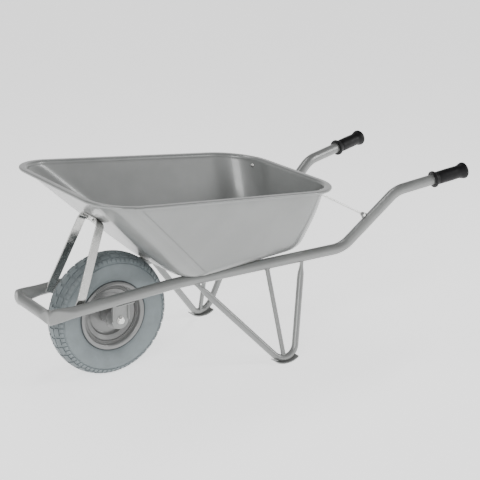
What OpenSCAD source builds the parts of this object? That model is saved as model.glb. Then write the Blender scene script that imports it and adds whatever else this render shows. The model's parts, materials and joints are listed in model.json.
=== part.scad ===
// Builder's wheelbarrow: one bent frame tube, a pressed deep tray, one pneumatic wheel.
// +X points forwards to the wheel, +Y to the barrow's left, +Z up. Millimetres.
// The origin is on the ground, under the middle of the overall box.

/* [Overall] */
// Length from the front bar to the ends of the grips
overall_l = 1510; // [1400:10:1850]
// Distance between the centres of the two grip ends
grip_gap = 566; // [540:2:620]
// Height of the grip ends' centres
grip_h = 541; // [520:1:600]

/* [Frame tube] */
// Outside diameter of the frame tube
tube_d = 36; // [32:0.5:43]
// Wall of the frame tube
tube_wall = 2; // [1.5:0.1:3]
// Distance between the centres of the parallel front rails
rail_gap = 234; // [226:2:282]
// Height of the front bar's centre
front_h = 270; // [262:1:290]
// Rise of the rails towards the back, in degrees
rail_rise = 3.3; // [2.5:0.1:4.2]
// Distance from the axle back to where the rails start to spread
spread_back = 178; // [150:1:215]
// Length of the handles behind the upper bend, along X
handle_run = 268; // [240:1:330]
// Slope of the handles, in degrees
handle_rise = 8.7; // [7:0.1:11]
// Slope of the steep part below the handles, in degrees
incline = 40.8; // [36:0.2:46]
// Centreline radius of the handle bends
handle_bend_r = 100; // [80:1:120]
// Thickness of the tube where a front corner is pressed flat
corner_t = 15; // [12:0.5:18]

/* [Grips] */
// Length of a grip
grip_l = 132; // [110:1:158]
// Diameter of a grip's body
grip_d = 44; // [41:0.5:52]
// Diameter of a grip's collar
collar_d = 56; // [54:0.5:66]

/* [Tray] */
// Length of the tray over its rim
tray_l = 901; // [860:1:960]
// Distance from the front bar back to the tray's rim
tray_setback = 95; // [80:1:115]
// Width over the rim at the front
tray_front_w = 672; // [640:2:740]
// Width over the rim at the back
tray_back_w = 608; // [580:2:680]
// Height of the rim at the front
rim_front_h = 646; // [630:1:700]
// Height of the rim at the back
rim_back_h = 557; // [540:1:600]
// Width of the rim's flange
rim_w = 27; // [22:0.5:32]
// Diameter of the rolled edge
rim_roll = 10; // [8:0.5:12]
// Sheet thickness of the tray
sheet = 1.5; // [1.2:0.1:2.2]
// Length of the tray's floor
floor_l = 484; // [450:1:560]
// Distance from a rail's centre out to the edge of the tray's floor
floor_over = 68; // [62:1:78]
// Distance from the axle back to the floor's front edge
floor_back = 184; // [180:1:215]

/* [Wheel] */
// Outside diameter of the tyre
tyre_d = 400; // [370:1:406]
// Width of the tyre
tyre_w = 100; // [90:1:104]
// Outside diameter of the rim's flanges
rim_d = 230; // [215:1:240]
// Width over the rim's flanges
rim_flange_w = 79; // [72:1:84]
// Distance from the front bar back to the axle
axle_setback = 270; // [262:1:325]
// Diameter of the axle
axle_d = 12; // [10:0.5:14.4]
// Diameter of the hub tube
hub_d = 58; // [48:1:70]
// Length of the hub tube
hub_l = 110; // [96:1:130]

/* [Axle brackets] */
// Thickness of a bracket's plate
bracket_t = 4; // [3:0.5:5]
// Distance from the middle plane to a bracket's inner face
bracket_y = 80; // [78:0.5:88]
// Width of a bracket's plate
bracket_w = 58; // [52:1:70]

/* [Legs] */
// Outside diameter of a leg's tube
leg_d = 22; // [20:0.5:25]
// Wall of a leg's tube
leg_wall = 2; // [1.5:0.1:2.6]
// Distance between the left and right feet's centres
foot_gap = 508; // [480:2:600]
// Distance from the axle back to the top of a front limb
leg_front_back = 252; // [240:1:300]
// Distance along X between the tops of a leg's two limbs
leg_spread = 369; // [330:1:440]
// Distance from the axle back to the foot's middle
foot_back = 505; // [490:1:540]
// Centreline radius of the foot's bend
foot_bend_r = 46; // [38:1:56]
// Diameter of a leg's brace
brace_d = 15; // [12:0.5:18]
// Thickness of a skid
skid_t = 4; // [3:0.5:5]
// Width of a skid
skid_w = 38; // [34:1:46]

/* [Front strap] */
// Width of the strap that holds up the tray's front
strap_w = 28; // [24:1:34]
// Thickness of the strap
strap_t = 5; // [4:0.5:6]
// Distance between the strap's legs at the top
strap_top_w = 112; // [96:2:130]
// Height of the strap's top
strap_top_h = 524; // [508:1:540]

/* [Stay rods] */
// Diameter of a stay rod
stay_d = 6; // [5:0.5:8]

/* [Fasteners] */
// Thread diameter of the frame and tray bolts
bolt_d = 8; // [6:0.5:9.6]

/* [Hidden] */
floor_w = rail_gap + 2 * floor_over;

paint = [0.63, 0.64, 0.63];
rim_paint = [0.55, 0.55, 0.54];
black = [0.07, 0.07, 0.07];
rubber_grey = [0.55, 0.6, 0.62];
zinc = [0.82, 0.82, 0.8];

// Gap between two pieces that only rest against each other
seat_gap = 0.2;
// Radial clearance of the hub's bearings on the axle
running_gap = 0.05;
// Radial clearance of a bolt in its hole
bolt_gap = 0.3;

front_x = overall_l / 2;
bar_x = front_x - tube_d / 2;
axle_x = front_x - axle_setback;
axle_z = tyre_d / 2;
rail_y = rail_gap / 2;
rail_k = tan(rail_rise);

// The frame's centreline, on the left side
spread_x = axle_x - spread_back;
// The slanted grip's rim reaches a little behind its centre
grip_slant = atan(norm([(grip_gap / 2 - rail_y) / (spread_x + front_x), tan(handle_rise)]));
grip_over = (collar_d / 2 - 5.93) * sin(grip_slant) - 0.3 * cos(grip_slant);
grip_x = -front_x + grip_over;
knee_x = grip_x + handle_run;
knee_z = grip_h - handle_run * tan(handle_rise);
incline_k = tan(incline);
heel_z = (front_h + rail_k * (bar_x - knee_x - knee_z / incline_k)) / (1 - rail_k / incline_k);
heel_x = knee_x + (knee_z - heel_z) / incline_k;
spread_k = (grip_gap / 2 - rail_y) / (spread_x - grip_x);
function rail_z(x) = front_h + rail_k * (bar_x - x);
function frame_y(x) = x > spread_x ? rail_y : rail_y + spread_k * (spread_x - x);

// --- vectors, bends and swept tubes ---

function unit(v) = v / norm(v);
function lerp(a, b, t) = a + (b - a) * t;
function flip_y(p) = [p[0], -p[1], p[2]];
function reverse(l) = [for (i = [len(l) - 1 : -1 : 0]) l[i]];
function smooth(t) = t * t * (3 - 2 * t);

// Points of an arc of radius r that rounds the corner v between p and q
function bend(p, v, q, r, steps) =
    let (u = unit(p - v), w = unit(q - v), half = acos(u * w) / 2,
         c = v + unit(u + w) * r / sin(half), sweep = 180 - 2 * half,
         a = v + u * r / tan(half) - c, b = v + w * r / tan(half) - c)
    [for (i = [0 : steps]) c + (a * sin((1 - i / steps) * sweep) + b * sin(i / steps * sweep)) / sin(sweep)];

// A station of a swept tube: centre, width, height, and the direction its height points in
function station(p, w, h, up) = [p, w, h, up];

// One ring round a station, mitred between the segments before and after it
function ring(s, before, after, inset, sides) =
    let (d = unit(before), t = unit(unit(before) + unit(after)), side = unit(cross(s[3], d)), up = cross(d, side),
         w = s[1] - 2 * inset, h = s[2] - 2 * inset, flat = (h - w) / 2)
    [for (i = [0 : sides - 1])
        let (a = 360 * i / sides, k = max(-1, min(1, 2.2 * sin(a))),
             off = side * (w / 2 * cos(a)) + up * (w / 2 * sin(a) + flat * k))
        s[0] + off - d * ((off * t) / (d * t))];

function rings(path, inset, sides) =
    [for (i = [0 : len(path) - 1])
        ring(path[i],
             i == 0 ? path[1][0] - path[0][0] : path[i][0] - path[i - 1][0],
             i == len(path) - 1 ? path[i][0] - path[i - 1][0] : path[i + 1][0] - path[i][0],
             inset, sides)];

function flat_list(l) = [for (a = l) for (b = a) b];

// Side faces between rings of n points; flip turns them inside out
function side_faces(count, n, first, flip) =
    [for (r = [0 : count - 2]) for (i = [0 : n - 1])
        let (j = (i + 1) % n, a = first + r * n + i, b = first + r * n + j, c = b + n, d = a + n)
        for (k = [0, 1])
            k == 0 ? (flip ? [a, b, c] : [c, b, a]) : (flip ? [a, c, d] : [d, c, a])];

// End faces between an outer ring and an inner ring
function end_faces(outer, inner, n, flip) =
    [for (i = [0 : n - 1])
        let (j = (i + 1) % n, a = outer + i, b = outer + j, c = inner + j, d = inner + i)
        for (k = [0, 1])
            k == 0 ? (flip ? [c, b, a] : [a, b, c]) : (flip ? [d, c, a] : [a, c, d])];

// A hollow tube along a path of stations
module hollow_sweep(path, wall, sides) {
    count = len(path);
    total = count * sides;
    polyhedron(
        points = concat(flat_list(rings(path, 0, sides)), flat_list(rings(path, wall, sides))),
        faces = concat(
            side_faces(count, sides, 0, false),
            side_faces(count, sides, total, true),
            end_faces(0, total, sides, false),
            end_faces(total - sides, 2 * total - sides, sides, true)),
        convexity = 10);
}

// A round bar or bolt shank from a to b
module rod(a, b, d, fn = 32) {
    v = b - a;
    translate(a)
        rotate([0, acos(v[2] / norm(v)), atan2(v[1], v[0])])
            cylinder(d = d, h = norm(v), $fn = fn);
}

// Places children at p with their +Z turned to direction v
module aim(p, v) {
    translate(p)
        rotate([0, acos(v[2] / norm(v)), atan2(v[1], v[0])])
            children();
}

module mirrored_y() {
    mirror([0, 1, 0]) children();
}

module hex_prism(across_flats, h) {
    cylinder(d = across_flats / cos(30), h = h, $fn = 6);
}

module ring_solid(outer_d, inner_d, h) {
    difference() {
        cylinder(d = outer_d, h = h, $fn = 48);
        translate([0, 0, -1])
            cylinder(d = inner_d, h = h + 2, $fn = 48);
    }
}

// --- frame tube ---

corner_h = (PI * tube_d - PI * corner_t) / 2 + corner_t;
corner_y = rail_y - 5;
bar_flare = 38;
rail_flare = 84;
up_z = [0, 0, 1];

function pressed(p, f) =
    station(p, lerp(tube_d, corner_t, f), lerp(tube_d, corner_h, f), up_z);

bar_stations = [for (d = [bar_flare, 29, 21, 13]) pressed([bar_x, corner_y - d, front_h], smooth(1 - (d - 13) / (bar_flare - 13)))];
corner_station = [pressed([bar_x, corner_y, front_h], 1)];
rail_stations = [for (d = [14, 28, 42, 56, 70, rail_flare])
    let (f = smooth(1 - (d - 14) / (rail_flare - 14)))
    pressed([bar_x - d, lerp(rail_y, corner_y, f), rail_z(bar_x - d)], f)];

function frame_point(x) = [x, frame_y(x), rail_z(x)];
heel = [heel_x, frame_y(heel_x), heel_z];
knee = [knee_x, frame_y(knee_x), knee_z];
handle_end = [grip_x, grip_gap / 2, grip_h];
handle_dir = unit(handle_end - knee);
incline_dir = unit(knee - heel);

bends = concat(
    bend(frame_point(bar_x - rail_flare), frame_point(spread_x), heel, 500, 3),
    bend(frame_point(spread_x), heel, knee, handle_bend_r, 6),
    bend(heel, knee, handle_end, handle_bend_r, 6));
// The tube stops short of the grip's closed end
grip_end_t = 7;
tube_end = handle_end - handle_dir * grip_end_t;
side_stations = concat(bar_stations, corner_station, rail_stations,
    [for (p = concat(bends, [tube_end])) station(p, tube_d, tube_d, up_z)]);
frame_path = concat(
    [for (s = reverse(side_stations)) [flip_y(s[0]), s[1], s[2], s[3]]],
    side_stations);

module frame_tube() {
    color(paint)
        difference() {
            hollow_sweep(frame_path, tube_wall, 24);
            for (s = [1, -1])
                on_side(s) insert_hole();
        }
}

// Mirrors to the right side when s is -1
module on_side(s) {
    if (s > 0) children();
    else mirrored_y() children();
}

// --- grips ---

module left_grip() {
    bore_d = tube_d + 2 * seat_gap;
    color(black)
        aim(handle_end, -handle_dir)
            rotate_extrude($fn = 72)
                polygon(concat(
                    [[0, 0], [collar_d * 0.3, 0]],
                    [for (a = [0 : 15 : 90]) [collar_d / 2 - 8 + 8 * sin(a), 9 - 9 * cos(a)]],
                    [for (t = [1 : 5]) [lerp(collar_d / 2, grip_d / 2, smooth(t / 5)), 9 + 22 * t / 5]],
                    [[grip_d / 2, grip_l - 19]],
                    [for (a = [0 : 15 : 90]) [lerp(grip_d / 2, collar_d / 2, 1 - cos(a)), grip_l - 19 + 11 * sin(a)]],
                    [[collar_d / 2, grip_l - 2], [collar_d / 2 - 2, grip_l], [bore_d / 2, grip_l]],
                    [[bore_d / 2, grip_end_t - seat_gap], [0, grip_end_t - seat_gap]]));
}

module right_grip() {
    mirrored_y() left_grip();
}

// --- tray ---

tray_front_x = front_x - tray_setback;
tray_back_x = tray_front_x - tray_l;
rim_k = (rim_front_h - rim_back_h) / tray_l;
function rim_z(x) = rim_back_h + rim_k * (x - tray_back_x);
floor_front_x = axle_x - floor_back;
floor_back_x = floor_front_x - floor_l;
rim_front_r = 135;
rim_back_r = 158;
floor_front_r = 88;
floor_back_r = 100;
fillet_in = 30;
fillet_up = 52;
wall_bulge = 5;
corner_steps = 12;
floor_lift = (tube_d / 2) / cos(rail_rise) + seat_gap;
function floor_z(x) = rail_z(x) + floor_lift;

// Points round one rounded corner at p, turning from the side towards a to the side towards b
function corner_arc(p, a, b, r) =
    let (u = unit(a - p), w = unit(b - p), half = acos(u * w) / 2,
         c = p + unit(u + w) * r / sin(half), sweep = 180 - 2 * half,
         s = p + u * r / tan(half) - c, e = p + w * r / tan(half) - c)
    [for (i = [0 : corner_steps])
        c + (s * sin((1 - i / corner_steps) * sweep) + e * sin(i / corner_steps * sweep)) / sin(sweep)];

// A rounded four-cornered outline, narrower at the back
function outline(front, back, front_w, back_w, front_r, back_r) =
    let (p = [[front, front_w / 2], [front, -front_w / 2], [back, -back_w / 2], [back, back_w / 2]],
         r = [front_r, front_r, back_r, back_r])
    [for (i = [0 : 3]) for (q = corner_arc(p[i], p[(i + 3) % 4], p[(i + 1) % 4], r[i])) q];

// The rim's outline moved outwards from the wall's top by out, at height up above the rim's plane
function rim_ring(out, up) =
    let (g = rim_w - out)
    [for (q = outline(tray_front_x - g, tray_back_x + g, tray_front_w - 2 * g, tray_back_w - 2 * g,
                      rim_front_r - g, rim_back_r - g)) [q[0], q[1], rim_z(q[0]) + up]];

// The floor's outline moved inwards by in, at height up above the floor
function floor_ring(in, up) =
    [for (q = outline(floor_front_x - in, floor_back_x + in, floor_w - 2 * in, floor_w - 8 - 2 * in,
                      floor_front_r - in, floor_back_r - in)) [q[0], q[1], floor_z(q[0]) + up]];

// Mid-line of the rim's section, from the rolled edge in to the wall: [out, up]
roll_r = rim_roll / 2;
rim_profile = concat(
    [for (a = [-150 : 40 : 90]) [rim_w - roll_r + (roll_r - sheet / 2) * cos(a), -roll_r + (roll_r - sheet / 2) * sin(a)]],
    [for (a = [90 : 22.5 : 180]) [9 + 9 * cos(a), -sheet / 2 - 10 + 10 * sin(a)]]);

// Normal of a section line at point i, to its outer side
function line_normal(l, i) =
    let (a = l[max(0, i - 1)], b = l[min(len(l) - 1, i + 1)], d = unit(b - a))
    [-d[1], d[0]];

function rim_skin(side) =
    [for (i = [0 : len(rim_profile) - 1])
        let (q = rim_profile[i] + line_normal(rim_profile, i) * side * sheet / 2)
        rim_ring(q[0], q[1])];

// Rings down the wall and round the fillet to the flat floor; in and up set the skin's place
function wall_skin(in, up) =
    let (top = rim_ring(-in, -14), low = floor_ring(in, up), flat = floor_ring(fillet_in + in, up), n = len(top))
    concat(
        [for (t = [0 : 0.2 : 0.8])
            [for (i = [0 : n - 1])
                let (q = low[i] + unit(top[i] - low[i]) * fillet_up, out = unit([low[i][0] - flat[i][0], low[i][1] - flat[i][1], 0]))
                lerp(top[i], q, t) + out * wall_bulge * sin(180 * t)]],
        [for (t = [0 : 1 / 6 : 1])
            [for (i = [0 : n - 1])
                let (q = low[i] + unit(top[i] - low[i]) * fillet_up)
                q * (1 - t) * (1 - t) + low[i] * 2 * t * (1 - t) + flat[i] * t * t]]);

module tray_shell() {
    inner = concat(rim_skin(-1), wall_skin(sheet / 2, sheet));
    outer = concat(rim_skin(1), wall_skin(-sheet / 2, 0));
    n = len(inner[0]);
    count = len(inner);
    total = n * count;
    polyhedron(
        points = concat(flat_list(outer), flat_list(inner)),
        faces = concat(
            side_faces(count, n, 0, false),
            side_faces(count, n, total, true),
            end_faces(0, total, n, false),
            [[for (i = [n - 1 : -1 : 0]) total - n + i]],
            [[for (i = [0 : n - 1]) 2 * total - n + i]]),
        convexity = 10);
}

module tray() {
    color(paint)
        difference() {
            tray_shell();
            for (s = [1, -1]) {
                on_side(s) tray_bolt_hole();
                on_side(s) strap_bolt_hole();
                on_side(s) stay_bolt_hole();
            }
        }
}

// --- front strap ---

// The tray's front wall, as a line in the middle plane
wall_top = [tray_front_x - rim_w, 0, rim_z(tray_front_x - rim_w) - 14];
wall_low = [floor_front_x, 0, floor_z(floor_front_x)];
wall_dir = unit(wall_top - wall_low);
wall_out = [wall_dir[2], 0, -wall_dir[0]];
function wall_at(z) = wall_low + wall_dir * ((z - wall_low[2]) / wall_dir[2]);
// How far the bulged wall's outer face stands out of that line at height z
wall_start = wall_low + wall_dir * fillet_up;
function wall_proud(z) =
    (sheet / 2 + wall_bulge * sin(180 * (wall_top[2] - z) / (wall_top[2] - wall_start[2]))) * wall_out[0];

strap_face = wall_at(strap_top_h) + wall_out * (wall_proud(strap_top_h) + seat_gap);
strap_top = strap_face + wall_out * strap_t / 2;
strap_foot_y = rail_y - tube_d / 2 - seat_gap - strap_t / 2;
strap_foot_x = axle_x + 152;
strap_foot = [strap_foot_x, strap_foot_y, rail_z(strap_foot_x) - 8];
strap_knee = [strap_foot_x - 14, strap_foot_y, rail_z(strap_foot_x) + tube_d / 2 + 4];
strap_shoulder = [strap_top[0], strap_top_w / 2, strap_top[2]];
strap_lean = unit([strap_knee[0] - strap_shoulder[0], 0, strap_knee[2] - strap_shoulder[2]]);
strap_across = [-strap_lean[2], 0, strap_lean[0]];

strap_half = concat(
    [[strap_foot, strap_across]],
    [for (q = bend(strap_foot, strap_knee, strap_shoulder, 30, 3)) [q, strap_across]],
    let (arc = bend(strap_knee, strap_shoulder, flip_y(strap_shoulder), 24, 8))
        [for (i = [0 : 8]) [arc[i], unit(lerp(strap_across, wall_dir, smooth(i / 8)))]]);
strap_path = concat(strap_half, [for (s = reverse(strap_half)) [flip_y(s[0]), s[1]]]);

function strap_ring(i) =
    let (last = len(strap_path) - 1, d = unit(strap_path[min(last, i + 1)][0] - strap_path[max(0, i - 1)][0]),
         across = unit(strap_path[i][1] - d * (strap_path[i][1] * d)), thick = cross(d, across), p = strap_path[i][0],
         w = strap_w / 2, t = strap_t / 2, e = 1)
    [p + across * w + thick * (t - e), p + across * (w - e) + thick * t,
     p - across * (w - e) + thick * t, p - across * w + thick * (t - e),
     p - across * w - thick * (t - e), p - across * (w - e) - thick * t,
     p + across * (w - e) - thick * t, p + across * w - thick * (t - e)];

module solid_sweep(all_rings) {
    n = len(all_rings[0]);
    count = len(all_rings);
    polyhedron(
        points = flat_list(all_rings),
        faces = concat(
            side_faces(count, n, 0, false),
            [[for (i = [0 : n - 1]) i]],
            [[for (i = [n - 1 : -1 : 0]) (count - 1) * n + i]]),
        convexity = 10);
}

module front_strap() {
    color(paint)
        difference() {
            solid_sweep([for (i = [0 : len(strap_path) - 1]) strap_ring(i)]);
            for (s = [1, -1])
                on_side(s) strap_bolt_hole();
        }
}

// --- legs ---

// A limb's top is pressed flat along the rail before it is welded on
leg_tab_t = 2 * leg_wall + 5;
leg_tab_w = (PI * leg_d - PI * leg_tab_t) / 2 + leg_tab_t;
leg_drop = tube_d / 2 / cos(rail_rise);
foot_x = axle_x - foot_back;
foot_y = foot_gap / 2;
skid_flat = 0.8;
foot_z = skid_t - skid_flat + seat_gap + leg_d / 2;
function leg_top(x) = [x, frame_y(x), rail_z(x) - leg_drop];
limb_front = leg_top(axle_x - leg_front_back);
limb_rear = leg_top(axle_x - leg_front_back - leg_spread);

// The foot's bend is one arc in the leg's own plane, and both limbs run into it
foot_mid = [foot_x, foot_y, foot_z];
leg_normal = unit(cross(limb_rear - foot_mid, limb_front - foot_mid));
leg_level = unit(cross(leg_normal, up_z));
leg_uphill = cross(leg_level, leg_normal);
foot_centre = foot_mid + leg_uphill * foot_bend_r;
function bend_angle(p, turn) =
    let (v = p - foot_centre)
    atan2(v * leg_uphill, v * leg_level) + turn * acos(foot_bend_r / norm(v));
foot_from = bend_angle(limb_front, -1);
foot_to = bend_angle(limb_rear, 1) - 360;
function foot_point(t) =
    let (a = lerp(foot_from, foot_to, t))
    foot_centre + (leg_level * cos(a) + leg_uphill * sin(a)) * foot_bend_r;
foot_front = foot_point(0);
foot_rear = foot_point(1);

function limb(p) = station(p, leg_d, leg_d, leg_normal);
function pressed_limb(p, f) = station(p, lerp(leg_d, leg_tab_t, f), lerp(leg_d, leg_tab_w, f), leg_normal);
front_limb_dir = unit(foot_front - limb_front);
rear_limb_dir = unit(foot_rear - limb_rear);
function limb_top(top, dir) =
    [for (i = [0 : 5]) pressed_limb(top + dir * [-18, 4, 15, 27, 40, 54][i], [1, 1, 0.85, 0.5, 0.15, 0][i])];
leg_path = concat(
    limb_top(limb_front, front_limb_dir),
    [for (i = [0 : 14]) limb(foot_point(i / 14))],
    reverse(limb_top(limb_rear, rear_limb_dir)));

// The rail's own tube, as a cutter for what is welded to it
module rail_cut(x0, x1) {
    rod([x0, frame_y(x0), rail_z(x0)], [x1, frame_y(x1), rail_z(x1)], tube_d + 2 * seat_gap, 64);
}

module left_leg() {
    color(paint)
        difference() {
            hollow_sweep(leg_path, leg_wall, 16);
            rail_cut(spread_x, heel_x);
        }
}

module right_leg() {
    mirrored_y() left_leg();
}

// --- bolt holes ---

hole_d = bolt_d + 2 * bolt_gap;
bolt_up = unit([rail_k, 0, 1]);
function rail_centre(x) = [x, frame_y(x), rail_z(x)];
tray_bolt_at = rail_centre(limb_front[0] + 18);
insert_d = bolt_d + 4;
// Distances from the rail's centre along a tray bolt
floor_low = floor_lift * cos(rail_rise);
floor_top = (floor_lift + sheet) * cos(rail_rise);

module bolt_hole(at, low, high, d) {
    rod(at + bolt_up * low, at + bolt_up * high, d, 40);
}

module insert_hole() {
    bolt_hole(tray_bolt_at, 0, tube_d / 2 + 2, insert_d + 2 * bolt_gap);
}

module tray_bolt_hole() {
    bolt_hole(tray_bolt_at, floor_low - 3, floor_top + 4, hole_d);
}

strap_bolt_y = strap_top_w / 2 - 38;
strap_bolt_at = strap_face + [0, strap_bolt_y, 0];

module strap_bolt_hole() {
    rod(strap_bolt_at - wall_out * 12, strap_bolt_at + wall_out * 12, hole_d, 40);
}

// --- tray bolts, nuts and washers ---

nut_h = bolt_d * 0.8;
hex_af = bolt_d * 1.6;
head_h = bolt_d * 0.55;

// A low domed bolt head, standing on z = 0
module dome_head(d, h) {
    rotate_extrude($fn = 48)
        polygon(concat([[0, 0], [d / 2, 0]], [for (a = [0 : 15 : 90]) [d / 2 * cos(a), h * 0.3 + h * 0.7 * sin(a)]]));
}

module hex_nut(af, h, bore) {
    difference() {
        intersection() {
            hex_prism(af, h);
            rotate_extrude($fn = 48)
                polygon([[0, 0], [af * 0.5, 0], [af * 0.58, h * 0.16], [af * 0.58, h * 0.84], [af * 0.5, h], [0, h]]);
        }
        translate([0, 0, -1])
            cylinder(d = bore, h = h + 2, $fn = 40);
    }
}

module hex_head(af, h) {
    intersection() {
        hex_prism(af, h);
        rotate_extrude($fn = 48)
            polygon([[0, 0], [af * 0.58, 0], [af * 0.58, h * 0.8], [af * 0.48, h], [0, h]]);
    }
}

module tray_bolts() {
    color(zinc)
        for (s = [1, -1])
            on_side(s) {
                aim(tray_bolt_at + bolt_up * (floor_top + seat_gap), bolt_up) dome_head(bolt_d * 2.1, head_h);
                rod(tray_bolt_at, tray_bolt_at + bolt_up * (floor_top + seat_gap + 0.5), bolt_d);
            }
}

module tray_bolt_inserts() {
    color(zinc)
        for (s = [1, -1])
            on_side(s)
                aim(tray_bolt_at + bolt_up * (floor_low - seat_gap - 14), bolt_up)
                    ring_solid(insert_d, bolt_d + 0.2, 14);
}

// Bolts through the strap and the tray's front wall, heads inside the tray
strap_head_at = strap_bolt_at - wall_out * (sheet * 1.2 + 2 * seat_gap);

module strap_bolts() {
    color(zinc)
        for (s = [1, -1])
            on_side(s) {
                aim(strap_head_at, -wall_out) dome_head(bolt_d * 2.1, head_h);
                rod(strap_head_at - wall_out * 0.5, strap_bolt_at + wall_out * (strap_t + nut_h + 4), bolt_d);
            }
}

module strap_nuts() {
    color(zinc)
        for (s = [1, -1])
            on_side(s)
                aim(strap_bolt_at + wall_out * (strap_t + 2 * seat_gap), wall_out)
                    hex_nut(hex_af, nut_h, bolt_d + 0.2);
}

// --- leg braces and skids ---

brace_top_x = foot_x + 11;
brace_low = [foot_x, foot_y, foot_z];
// Room for the bend's rise across the brace
brace_seat = brace_d * brace_d / 8 / foot_bend_r + 3 * seat_gap;

module left_leg_brace() {
    top = rail_centre(brace_top_x);
    color(paint)
        difference() {
            rod(brace_low, top, brace_d, 40);
            rail_cut(spread_x, heel_x);
            rod(foot_mid - leg_level * 60, foot_mid + leg_level * 60, leg_d + 2 * brace_seat, 64);
        }
}

module right_leg_brace() {
    mirrored_y() left_leg_brace();
}

skid_r = foot_bend_r + leg_d / 2 + 20;
skid_front = 40;
skid_back = 44;

module left_skid() {
    color(paint)
        translate([foot_x - 2, foot_y + skid_w / 2, 0])
            rotate([90, 0, 0])
                linear_extrude(skid_w)
                    difference() {
                        intersection() {
                            translate([0, skid_r + skid_t - skid_flat]) circle(r = skid_r + skid_t, $fn = 96);
                            translate([-skid_back, 0]) square([skid_front + skid_back, 30]);
                        }
                        translate([0, skid_r + skid_t - skid_flat]) circle(r = skid_r, $fn = 96);
                    }
}

module right_skid() {
    mirrored_y() left_skid();
}

// --- axle brackets, axle and spacers ---

// Extrudes a shape drawn in X and Z from y to y + t
module plate_at(y, t) {
    translate([0, y + t, 0]) rotate([90, 0, 0]) linear_extrude(t) children();
}

bracket_flange = 12;
function rail_low(x) = rail_z(x) - tube_d / 2 / cos(rail_rise) - seat_gap;

module bracket_strip(x0, x1, drop) {
    polygon([[x0, rail_low(x0) - drop], [x1, rail_low(x1) - drop], [x1, rail_low(x1)], [x0, rail_low(x0)]]);
}

module left_axle_bracket() {
    x0 = axle_x - bracket_w / 2;
    x1 = axle_x + bracket_w / 2;
    color(paint)
        difference() {
            union() {
                plate_at(bracket_y, bracket_t) {
                    translate([axle_x, axle_z]) circle(d = bracket_w, $fn = 72);
                    polygon([[x0, axle_z], [x1, axle_z], [x1, rail_low(x1)], [x0, rail_low(x0)]]);
                }
                plate_at(bracket_y, bracket_flange) {
                    polygon([[x0, axle_z], [x0 + bracket_t, axle_z], [x0 + bracket_t, rail_low(x0 + bracket_t)], [x0, rail_low(x0)]]);
                    polygon([[x1 - bracket_t, axle_z], [x1, axle_z], [x1, rail_low(x1)], [x1 - bracket_t, rail_low(x1 - bracket_t)]]);
                }
                plate_at(bracket_y, rail_y + 8 - bracket_y) bracket_strip(x0, x1, bracket_t);
            }
            translate([axle_x, 0, axle_z])
                rotate([-90, 0, 0])
                    cylinder(d = axle_d + 2 * bolt_gap, h = front_x, $fn = 48);
        }
}

module right_axle_bracket() {
    mirrored_y() left_axle_bracket();
}

axle_washer_t = 2.5;
axle_head_h = axle_d * 0.63;
axle_af = axle_d * 1.55;
axle_nut_h = axle_d * 0.83;
bracket_out = bracket_y + bracket_t + seat_gap;
head_y = bracket_out + axle_washer_t + seat_gap;

module at_axle(y, side) {
    translate([axle_x, y, axle_z]) rotate([-90 * side, 0, 0]) children();
}

module axle_bolt() {
    color(zinc) {
        at_axle(head_y, 1) hex_head(axle_af, axle_head_h);
        at_axle(-head_y - axle_nut_h - 6, 1) cylinder(d = axle_d, h = 2 * head_y + axle_nut_h + 6.5, $fn = 64);
    }
}

module axle_nut() {
    color(zinc)
        at_axle(-head_y, -1) hex_nut(axle_af, axle_nut_h, axle_d + 0.2);
}

module axle_washers() {
    color(zinc)
        for (s = [1, -1])
            at_axle(s * bracket_out, s) ring_solid(axle_d * 2, axle_d + 2 * bolt_gap, axle_washer_t);
}

spacer_d = axle_d + 9;
spacer_end_gap = 0.4;

module left_axle_spacer() {
    start = hub_l / 2 + spacer_end_gap;
    color(zinc)
        at_axle(start, 1) ring_solid(spacer_d, axle_d + 0.4, bracket_y - seat_gap - start);
}

module right_axle_spacer() {
    mirrored_y() left_axle_spacer();
}

// --- stay rods ---

// The upper ends sit on the tray's rear corners, just under the rim
function wall_mid(i, t) =
    let (top = rim_ring(0, -14)[i], low = floor_ring(0, sheet / 2)[i], flat = floor_ring(fillet_in, sheet / 2)[i],
         out = unit([low[0] - flat[0], low[1] - flat[1], 0]))
    lerp(top, low + unit(top - low) * fillet_up, t) + out * wall_bulge * sin(180 * t);
stay_i = 3 * (corner_steps + 1) + 3;
stay_upper = wall_mid(stay_i, 0);
stay_lower = wall_mid(stay_i, 0.2);
stay_out = unit(cross(wall_mid(stay_i + 1, 0) - wall_mid(stay_i - 1, 0), stay_lower - stay_upper));
stay_wall_at = lerp(stay_upper, stay_lower, 0.45);
stay_eye_t = 4;
stay_eye_d = stay_d * 2.8;
stay_hole_d = stay_d + 2 * bolt_gap;
// Room for the corner's curve across the eye
stay_stand = sheet / 2 + stay_eye_d * stay_eye_d / 8 / (rim_back_r - rim_w) + 2 * seat_gap;
stay_eye_at = stay_wall_at + stay_out * stay_stand;

tab_k = 0.48;
tab_base = lerp(heel, knee, tab_k);
tab_normal = unit(cross(cross(incline_dir, up_z), incline_dir));
stay_tab_t = 4;
stay_tab_h = 10;
tab_hole = tab_base + tab_normal * (tube_d / 2 + stay_tab_h);
// The rod's lower eye lies against the tab's inner face
stay_low_at = tab_hole + [0, -1, 0] * (stay_tab_t / 2 + seat_gap);

module stay_bolt_hole() {
    rod(stay_wall_at - stay_out * 12, stay_wall_at + stay_out * 12, stay_hole_d, 40);
}

// A disc of the tab's thickness in the tab's own plane
module tab_disc(p, d) {
    translate([p[0], tab_hole[1] + stay_tab_t / 2, p[2]]) rotate([90, 0, 0]) cylinder(d = d, h = stay_tab_t, $fn = 32);
}

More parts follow.
